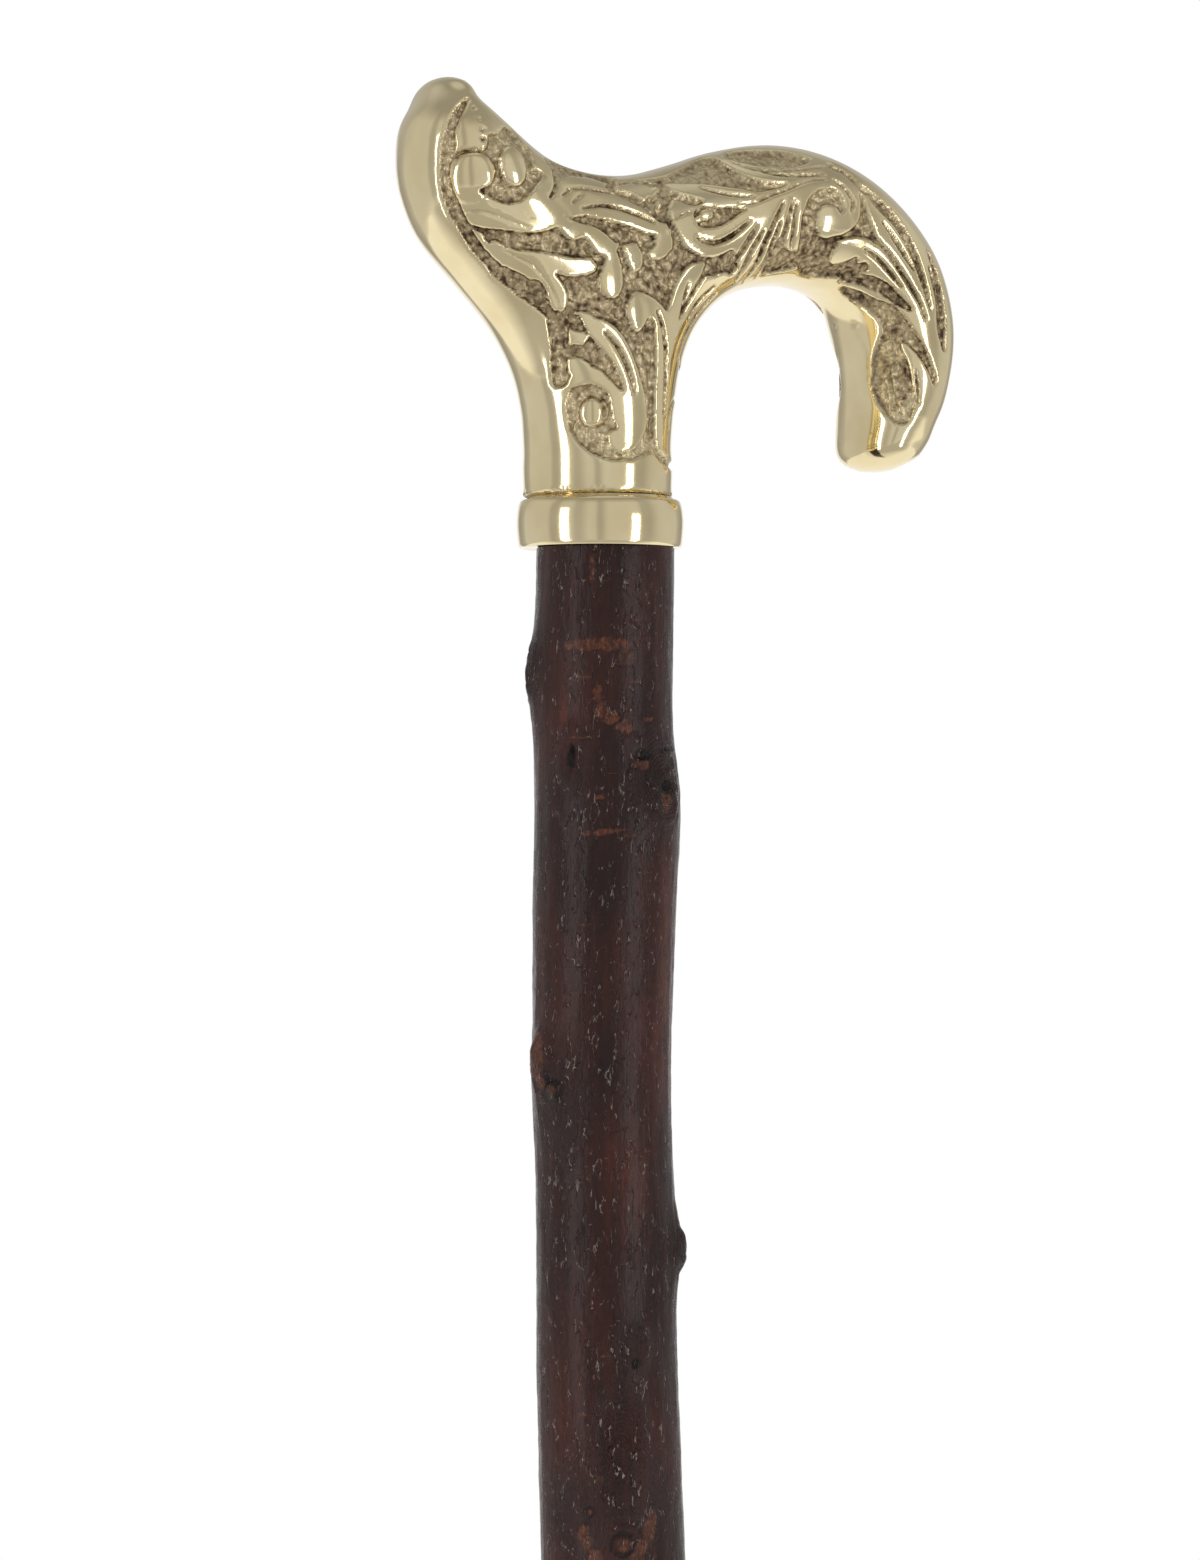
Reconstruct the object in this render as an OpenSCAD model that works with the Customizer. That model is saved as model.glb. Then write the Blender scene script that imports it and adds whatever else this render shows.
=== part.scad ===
// Shillelagh walking stick: cast brass derby handle with a flared nose, brass collar,
// bark-on knobbly shaft, and a rubber ferrule on a turned tip.
// Origin: centre of the ferrule's tread, on the floor. +Z runs up the shaft and +X along the hook.

/* [Stick] */
// Height of the handle's seat above the floor
seat_z = 845; // [700:5:950]
// Glue line left round every bonded joint
glue_gap = 0.1; // [0.02:0.02:0.3]

/* [Handle] */
// Length of the handle, from the nose to the outside of the hook
handle_len = 107.6; // [95:0.2:120]
// Rise of the handle, from its seat to the top of the nose
handle_rise = 69.9; // [60:0.1:80]
// Widest place across the grip
grip_w = 27; // [24:0.5:32]
// Squareness of the grip's section, where 2 is an ellipse
grip_squareness = 2.15; // [2:0.05:2.6]
// Length of the domed end of the nose
nose_dome = 4; // [2:0.5:7]
// Length of the domed end of the hook
hook_dome = 5; // [3:0.5:8]
// Diameter of the neck where it meets the collar
neck_d = 25.4; // [24:0.2:27]
// Distance that the cast neck sits off the stud's axis, towards the nose
neck_shift = 0.5; // [0:0.1:0.8]

/* [Collar] */
// Outside diameter of the collar
collar_d = 28.5; // [28:0.5:34]
// Height of the collar
collar_h = 8.5; // [6:0.5:14]
// Bulge of the collar's side at mid height
collar_bulge = 0.35; // [0:0.05:0.8]
// Radius on the collar's upper edge
collar_top_r = 1.8; // [0.8:0.1:2.4]
// Radius on the collar's lower edge
collar_foot_r = 0.7; // [0.3:0.1:1.5]

/* [Joint] */
// Diameter of the tenon turned on the shaft's top
tenon_d = 19; // [16:0.5:20]
// Diameter of the steel stud
stud_d = 10; // [6:0.5:12]
// Length of stud in the handle
stud_up = 26; // [16:1:34]
// Length of stud in the shaft, below the seat
stud_down = 54; // [30:1:80]
// Chamfer on the stud's ends
stud_chamfer = 1; // [0.5:0.1:2]
// Room left past each end of the stud for glue
stud_room = 0.6; // [0.4:0.1:2]

/* [Shaft] */
// Diameter over the bark just below the collar
shaft_top_d = 23.8; // [22:0.2:26]
// Diameter over the bark just above the ferrule
shaft_tip_d = 20.4; // [19.8:0.2:23]
// Diameter of the tip turned to fit the ferrule
tip_d = 19; // [16:0.5:19.5]
// Height of a full-sized knot above the bark
knot_rise = 1.7; // [0.5:0.1:3]
// Spacing of the knots that run down the lower shaft
knot_pitch = 33; // [24:1:60]

/* [Ferrule] */
// Height of the rubber ferrule
ferrule_h = 40; // [30:1:55]
// Diameter of the ferrule's foot
foot_d = 34; // [30:1:42]
// Height of the ferrule's foot
foot_h = 9; // [6:0.5:14]
// Thickness of the ferrule's wall at its rim
rim_wall = 2.6; // [1.8:0.1:4]
// Thickness of rubber under the washer
sole_h = 7; // [5:0.5:10]
// Width of the ribs round the ferrule's sleeve
rib_w = 1.6; // [1:0.1:2.5]
// Height of those ribs
rib_rise = 0.6; // [0.2:0.1:1]
// Depth of the tread grooves
tread_depth = 1.6; // [0.8:0.1:2.5]
// Width of the tread grooves
tread_w = 2; // [1:0.1:2.5]
// Diameter of the washer moulded into the ferrule
washer_d = 18; // [15:0.5:18.5]
// Thickness of that washer
washer_h = 1.5; // [1:0.1:2.5]

/* [Hidden] */
$fn = 96;

// Grip stations from nose to hook, as the outline was drawn: x and z of the upper or outer edge,
// x and z of the lower or inner edge, and the width as a share of the widest place
drawn_len = 107.6;
drawn_rise = 69.9;
grip_stations = [
    [-26.0, 66.0, -35.2, 64.8, 0.63],
    [-20.7, 62.0, -37.2, 58.5, 0.82],
    [-13.0, 57.0, -36.8, 50.0, 0.93],
    [-4.5, 55.2, -31.8, 40.0, 0.95],
    [4.5, 55.6, -19.5, 29.5, 0.93],
    [13.0, 58.0, -1.5, 25.5, 0.93],
    [21.8, 61.0, 12.2, 28.5, 0.95],
    [32.0, 63.0, 24.5, 36.2, 0.98],
    [42.0, 62.4, 34.8, 38.8, 1.00],
    [51.7, 58.9, 43.3, 38.2, 1.00],
    [60.4, 52.5, 48.7, 35.2, 0.98],
    [67.2, 44.0, 51.0, 30.0, 0.94],
    [70.4, 32.5, 52.0, 23.0, 0.90],
    [68.4, 20.3, 51.8, 16.2, 0.85],
    [62.7, 11.6, 51.5, 11.9, 0.70],
];
// Neck stations from the seat up: z, flare towards the hook, flare towards the nose, both past the
// neck's radius, and the change in half width from that radius
neck_stations = [
    [0, 0, 0, 0],
    [8, -0.1, 0.1, -0.1],
    [15.2, 0.6, 0.8, -0.2],
    [22.3, 2.0, 3.2, -0.2],
    [29, 5.1, 8.1, -0.2],
    [36.3, 10.2, 15.0, -0.2],
    [44.3, 9.3, 13.8, -2.2],
];
steps = 4; // rings between two stations
dome_rings = 4;
grip_sides = 36;

// Shaft stations from the collar down: distance below the shoulder, sideways wander of the pith in
// x and y, and how far the bark stands past the plain taper
shaft_stations = [
    [0, 0.8, -0.5, 0.0],
    [12, 0.7, -0.4, 0.1],
    [30, 0.4, -0.3, 0.2],
    [44, 1.1, -0.6, 0.8],
    [62, 0.6, -0.4, 0.6],
    [90, 0.2, -0.2, 0.3],
    [112, 0.7, -0.5, 0.3],
    [138, 0.9, -0.6, 0.5],
    [158, 1.5, -0.8, 0.7],
    [180, 2.1, -1.1, 0.9],
    [240, 3.0, -0.4, 0.8],
    [320, 2.2, 1.4, 0.5],
    [410, -0.6, 2.4, 0.9],
    [500, -2.8, 1.2, 0.6],
    [590, -2.2, -1.2, 0.8],
    [670, 0.4, -2.0, 0.4],
    [735, 1.4, -0.8, 0.4],
    [797, 0, 0, 0],
];
drawn_shaft = 797;
shaft_ring_gap = 5.4;
shaft_sides = 26;
// Knots below the collar: distance below the shoulder, bearing from +X, share of the full rise,
// half length and half width along the bark
knots = [
    [22, 160, 1.00, 5.5, 4.0],
    [36, 217, 0.25, 3.0, 2.5],
    [43, 293, 0.60, 6.5, 4.5],
    [89, 182, 0.75, 6.5, 4.0],
    [120, 325, 1.00, 5.0, 4.0],
    [139, 269, 0.30, 3.5, 3.0],
    [153, 257, 0.30, 3.0, 3.0],
    [170, 247, 0.70, 6.0, 4.5],
];
knot_turn = 137.5; // bearing gained from one lower knot to the next
knots_end = 24;    // bark left plain above the ferrule

// Heights worked out from the sizes above
collar_z = seat_z - collar_h;
ferrule_floor = sole_h + washer_h;
tip_z = ferrule_h + 0.4;
shaft_len = collar_z - tip_z;

function mix(a, b, t) = a + (b - a) * t;
function curve(p0, p1, p2, p3, t) =
    ((2 * p1) + (p2 - p0) * t + (2 * p0 - 5 * p1 + 4 * p2 - p3) * t * t
        + (3 * p1 - p0 - 3 * p2 + p3) * t * t * t) / 2;
function row_at(rows, i) =
    i < 0 ? 2 * rows[0] - rows[1]
    : i >= len(rows) ? 2 * rows[len(rows) - 1] - rows[len(rows) - 2]
    : rows[i];
function on_curve(rows, i, t) =
    curve(row_at(rows, i - 1), rows[i], rows[i + 1], row_at(rows, i + 2), t);
function smoothed(rows) = [
    for (i = [0:len(rows) - 2]) for (k = [0:steps - 1]) on_curve(rows, i, k / steps),
    rows[len(rows) - 1],
];
function signed_pow(v, e) = sign(v) * pow(abs(v), e);

// One ring of a grip: upper point, lower point and half width, with a rounded section
function grip_ring(row, squareness) =
    let (
        up = [row[0], 0, row[1]],
        down = [row[2], 0, row[3]],
        e = 2 / squareness
    ) [
        for (s = [0:grip_sides - 1])
            let (a = 360 * s / grip_sides)
            (up + down) / 2
                + signed_pow(cos(a), e) * (up - down) / 2
                + [0, signed_pow(sin(a), e) * row[4], 0],
    ];

// Rows that round off an end: the last section shrinks as it moves out along its own normal
function dome_rows(last, before, length) =
    let (
        up = [last[0], last[1]],
        down = [last[2], last[3]],
        centre = (up + down) / 2,
        half = (up - down) / 2,
        inner = [before[0] + before[2], before[1] + before[3]] / 2,
        raw = [-half[1], half[0]] / norm(half),
        out = raw * sign(raw * (centre - inner))
    ) [
        for (k = [1:dome_rings])
            let (
                a = 88 * k / dome_rings,
                c = centre + out * length * sin(a),
                h = half * cos(a)
            ) [c[0] + h[0], c[1] + h[1], c[0] - h[0], c[1] - h[1], last[4] * cos(a)],
    ];
function reversed(rows) = [for (i = [len(rows) - 1:-1:0]) rows[i]];

// Solid through rings that run counterclockwise about the way they are stacked
module loft(rings) {
    n = len(rings);
    m = len(rings[0]);
    points = [for (r = rings) each r];
    sides = [
        for (i = [0:n - 2]) for (j = [0:m - 1])
            let (k = (j + 1) % m)
            each [
                [i * m + j, (i + 1) * m + k, i * m + k],
                [i * m + j, (i + 1) * m + j, (i + 1) * m + k],
            ],
    ];
    foot = [for (j = [0:m - 1]) j];
    top = [for (j = [m - 1:-1:0]) (n - 1) * m + j];
    polyhedron(points, concat([foot], sides, [top]), convexity = 6);
}

// Crossbar of the derby handle, from the flared nose over the saddle to the tip of the hook
module grip_body() {
    kx = handle_len / drawn_len;
    kz = handle_rise / drawn_rise;
    rows = [
        for (r = smoothed(grip_stations))
            [r[0] * kx, r[1] * kz, r[2] * kx, r[3] * kz, r[4] * grip_w / 2],
    ];
    last = len(rows) - 1;
    all = concat(
        reversed(dome_rows(rows[0], rows[1], nose_dome)),
        rows,
        dome_rows(rows[last], rows[last - 1], hook_dome)
    );
    translate([0, 0, seat_z]) loft([for (r = reversed(all)) grip_ring(r, grip_squareness)]);
}

// Neck, round at its seat and flaring into the nose and the arch of the hook
module neck_body() {
    kx = handle_len / drawn_len;
    kz = handle_rise / drawn_rise;
    rows = [
        for (r = smoothed(neck_stations))
            [
                neck_d / 2 - neck_shift + r[1] * kx, r[0] * kz,
                -neck_d / 2 - neck_shift - r[2] * kx, r[0] * kz,
                neck_d / 2 + r[3],
            ],
    ];
    translate([0, 0, seat_z]) loft([for (r = rows) grip_ring(r, 2)]);
}

module handle() {
    color("#c2ad6c") difference() {
        union() {
            grip_body();
            neck_body();
        }
        translate([0, 0, seat_z - 1])
            cylinder(d = stud_d + 2 * glue_gap, h = stud_up + stud_room + 1);
    }
}

// Half section of the collar: a barrel side with a soft upper edge and a crisp lower one
module collar_section() {
    inner = tenon_d / 2 + glue_gap;
    outer = collar_d / 2;
    straight = outer - collar_bulge;
    translate([inner, 0]) square([straight - collar_top_r - inner, collar_h]);
    translate([inner, 0]) square([straight - collar_foot_r - inner, collar_foot_r + 0.01]);
    translate([inner, collar_foot_r])
        square([straight - inner, collar_h - collar_top_r - collar_foot_r]);
    translate([straight - collar_top_r, collar_h - collar_top_r]) circle(r = collar_top_r);
    translate([straight - collar_foot_r, collar_foot_r]) circle(r = collar_foot_r);
    if (collar_bulge > 0) {
        chord = collar_h - collar_top_r - collar_foot_r;
        radius = chord * chord / (8 * collar_bulge) + collar_bulge / 2;
        intersection() {
            translate([outer - radius, collar_foot_r + chord / 2]) circle(r = radius, $fn = 360);
            translate([straight - 0.01, collar_foot_r]) square([collar_bulge + 1, chord]);
        }
    }
}

module collar() {
    color("#c8b472") translate([0, 0, collar_z]) rotate_extrude() collar_section();
}

module joining_stud() {
    length = stud_up + stud_down;
    c = stud_chamfer;
    r = stud_d / 2;
    color("silver") translate([0, 0, seat_z - stud_down])
        rotate_extrude()
            polygon([[0, 0], [r - c, 0], [r, c], [r, length - c], [r - c, length], [0, length]]);
}

// Rise of the bark at a depth below the shoulder and a bearing, summed over the knots near it
function knot_lift(depth, bearing, list) = len(list) == 0 ? 0 : max([
    for (k = list)
        let (
            turn = abs((bearing - k[1] + 540) % 360 - 180),
            across = turn * PI / 180 * shaft_top_d / 2 / k[4],
            along = (depth - k[0]) / k[3]
        ) knot_rise * k[2] * exp(-along * along - across * across)
]);
function lower_knots() = [
    for (i = [0:floor((shaft_len - knots_end - 195) / knot_pitch)])
        [
            195 + i * knot_pitch,
            (80 + i * knot_turn) % 360,
            0.6 + 0.4 * abs(sin(i * 77)),
            5 + 1.5 * sin(i * 51),
            4 + 0.8 * sin(i * 113),
        ],
];
function near(list, depth) = [for (k = list) if (abs(k[0] - depth) < 3 * k[3]) k];
function station_below(depth) = [
    for (i = [0:len(shaft_stations) - 2])
        if (depth <= shaft_stations[i + 1][0] && (depth > shaft_stations[i][0] || i == 0)) i
][0];

// Bark surface of the shaft, with its taper, wander and knots
module bark_body() {
    all_knots = concat([for (k = knots) if (k[0] < shaft_len - knots_end) k], lower_knots());
    count = ceil(shaft_len / shaft_ring_gap);
    rings = [
        for (i = [count:-1:0])
            let (
                depth = shaft_len * i / count,
                drawn = drawn_shaft * i / count,
                s = station_below(drawn),
                span = shaft_stations[s + 1][0] - shaft_stations[s][0],
                at = on_curve(shaft_stations, s, (drawn - shaft_stations[s][0]) / span),
                r = mix(shaft_top_d, shaft_tip_d, depth / shaft_len) / 2 + at[3],
                here = near(all_knots, depth)
            ) [
                for (j = [0:shaft_sides - 1])
                    let (
                        a = 360 * j / shaft_sides,
                        lift = r + knot_lift(depth, a, here)
                    ) [at[1] + lift * cos(a), at[2] + lift * sin(a), collar_z - depth],
            ],
    ];
    loft(rings);
}

module shaft() {
    color("#46302a") difference() {
        union() {
            bark_body();
            translate([0, 0, collar_z - 2]) cylinder(d = tenon_d, h = collar_h + 2);
            translate([0, 0, ferrule_floor]) cylinder(d = tip_d, h = tip_z - ferrule_floor + 2);
        }
        translate([0, 0, seat_z - stud_down - stud_room])
            cylinder(d = stud_d + 2 * glue_gap, h = stud_down + stud_room + 1);
    }
}

// Half section of the ferrule: ribbed sleeve, bell-shaped foot and grooved tread
module ferrule_section() {
    bore = tip_d / 2 + glue_gap / 2;
    rim = bore + rim_wall;
    foot = foot_d / 2;
    difference() {
        union() {
            polygon([
                [0, 0], [foot - 1, 0], [foot, 1], [foot, foot_h - 1.5], [foot - 0.5, foot_h],
                [rim + 2.2, foot_h + 2.5], [rim + 1, foot_h + 7], [rim + 0.6, ferrule_h - 6],
                [rim + 0.3, ferrule_h - 0.8], [rim - 0.5, ferrule_h], [0, ferrule_h],
            ]);
            for (i = [0:2])
                translate([rim - 0.5, ferrule_h - 5 - i * 2.6 * rib_w])
                    square([0.9 + rib_rise, rib_w]);
        }
        translate([-1, ferrule_floor]) square([bore + 1, ferrule_h]);
        translate([-1, sole_h]) square([washer_d / 2 + glue_gap / 2 + 1, washer_h + 1]);
        for (r = [foot * 0.3, foot * 0.62])
            translate([r - tread_w / 2, -1]) square([tread_w, tread_depth + 1]);
    }
}

module rubber_ferrule() {
    color("#1c1c1c") rotate_extrude() ferrule_section();
}

module ferrule_washer() {
    color("gainsboro") translate([0, 0, sole_h]) cylinder(d = washer_d, h = washer_h);
}

handle();
collar();
joining_stud();
shaft();
rubber_ferrule();
ferrule_washer();
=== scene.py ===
"""Shillelagh: dresses the frame of a cast brass derby handle on a bark-on shaft."""

import math

import bmesh
import bpy
import numpy as np
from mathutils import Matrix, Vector, noise
from mathutils.bvhtree import BVHTree


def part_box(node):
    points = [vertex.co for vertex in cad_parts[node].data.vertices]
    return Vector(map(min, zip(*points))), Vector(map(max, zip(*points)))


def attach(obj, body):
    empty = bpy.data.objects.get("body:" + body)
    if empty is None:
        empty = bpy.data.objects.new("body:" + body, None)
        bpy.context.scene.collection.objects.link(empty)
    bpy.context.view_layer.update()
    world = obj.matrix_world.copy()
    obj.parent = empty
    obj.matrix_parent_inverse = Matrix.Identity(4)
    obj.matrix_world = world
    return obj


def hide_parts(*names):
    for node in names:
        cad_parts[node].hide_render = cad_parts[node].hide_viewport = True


bl_info = {
    "name": "Shillelagh",
    "version": (1, 0, 0),
    "blender": (4, 5, 0),
    "location": "View3D > Sidebar > Shillelagh",
    "description": "Dresses a brass-handled shillelagh with its carving, bark, rubber and studio",
    "category": "Object",
}

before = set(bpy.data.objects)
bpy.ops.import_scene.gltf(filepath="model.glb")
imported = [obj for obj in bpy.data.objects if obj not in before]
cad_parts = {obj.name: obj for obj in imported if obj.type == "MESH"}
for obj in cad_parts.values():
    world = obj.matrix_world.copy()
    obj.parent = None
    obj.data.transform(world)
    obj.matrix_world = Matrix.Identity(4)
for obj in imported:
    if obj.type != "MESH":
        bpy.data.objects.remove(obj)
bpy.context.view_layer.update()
MM = 0.001
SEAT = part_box("collar")[1].z / MM
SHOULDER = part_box("collar")[0].z / MM


# Small tools


def linear(code):
    """The linear colour of an sRGB hex value."""
    parts = [int(code[i : i + 2], 16) / 255 for i in (1, 3, 5)]
    return [c / 12.92 if c <= 0.04045 else ((c + 0.055) / 1.055) ** 2.4 for c in parts] + [1]


def add(tree, kind, inputs=None, stops=None, **settings):
    """Adds a node with its settings, its ramp's stops, and its input values or links."""
    made = tree.nodes.new(kind)
    for name, value in settings.items():
        setattr(made, name, value)
    for socket, value in (inputs or {}).items():
        if isinstance(value, bpy.types.NodeSocket):
            tree.links.new(value, made.inputs[socket])
        else:
            made.inputs[socket].default_value = value
    if stops:
        ramp = made.color_ramp.elements
        while len(ramp) < len(stops):
            ramp.new(0.5)
        for element, (place, colour) in zip(ramp, stops):
            element.position = place
            element.color = linear(colour) if isinstance(colour, str) else list(colour)
    return made


def blank_material(name):
    """An empty node material with its output."""
    material = bpy.data.materials.new(name)
    material.use_nodes = True
    material.node_tree.nodes.clear()
    output = material.node_tree.nodes.new("ShaderNodeOutputMaterial")
    return material, material.node_tree, output


def smooth_step(value, low, high):
    t = np.clip((value - low) / (high - low), 0, 1)
    return t * t * (3 - 2 * t)


def new_piece(name, mesh, material, node):
    """Adds a finished mesh as the piece that stands for a CAD node."""
    old = bpy.data.objects.get(name)
    if old:
        bpy.data.objects.remove(old)
    piece = bpy.data.objects.new(name, mesh)
    bpy.context.scene.collection.objects.link(piece)
    mesh.materials.clear()
    mesh.materials.append(material)
    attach(piece, "root")
    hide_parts(node)
    return piece


def positions(mesh):
    flat = np.empty(len(mesh.vertices) * 3)
    mesh.vertices.foreach_get("co", flat)
    return flat.reshape(-1, 3)


def normals(mesh):
    flat = np.empty(len(mesh.vertices) * 3)
    mesh.vertex_normals.foreach_get("vector", flat)
    return flat.reshape(-1, 3)


def store(mesh, name, values):
    layer = mesh.attributes.new(name, "FLOAT", "POINT")
    layer.data.foreach_set("value", np.asarray(values, np.float32))


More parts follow.
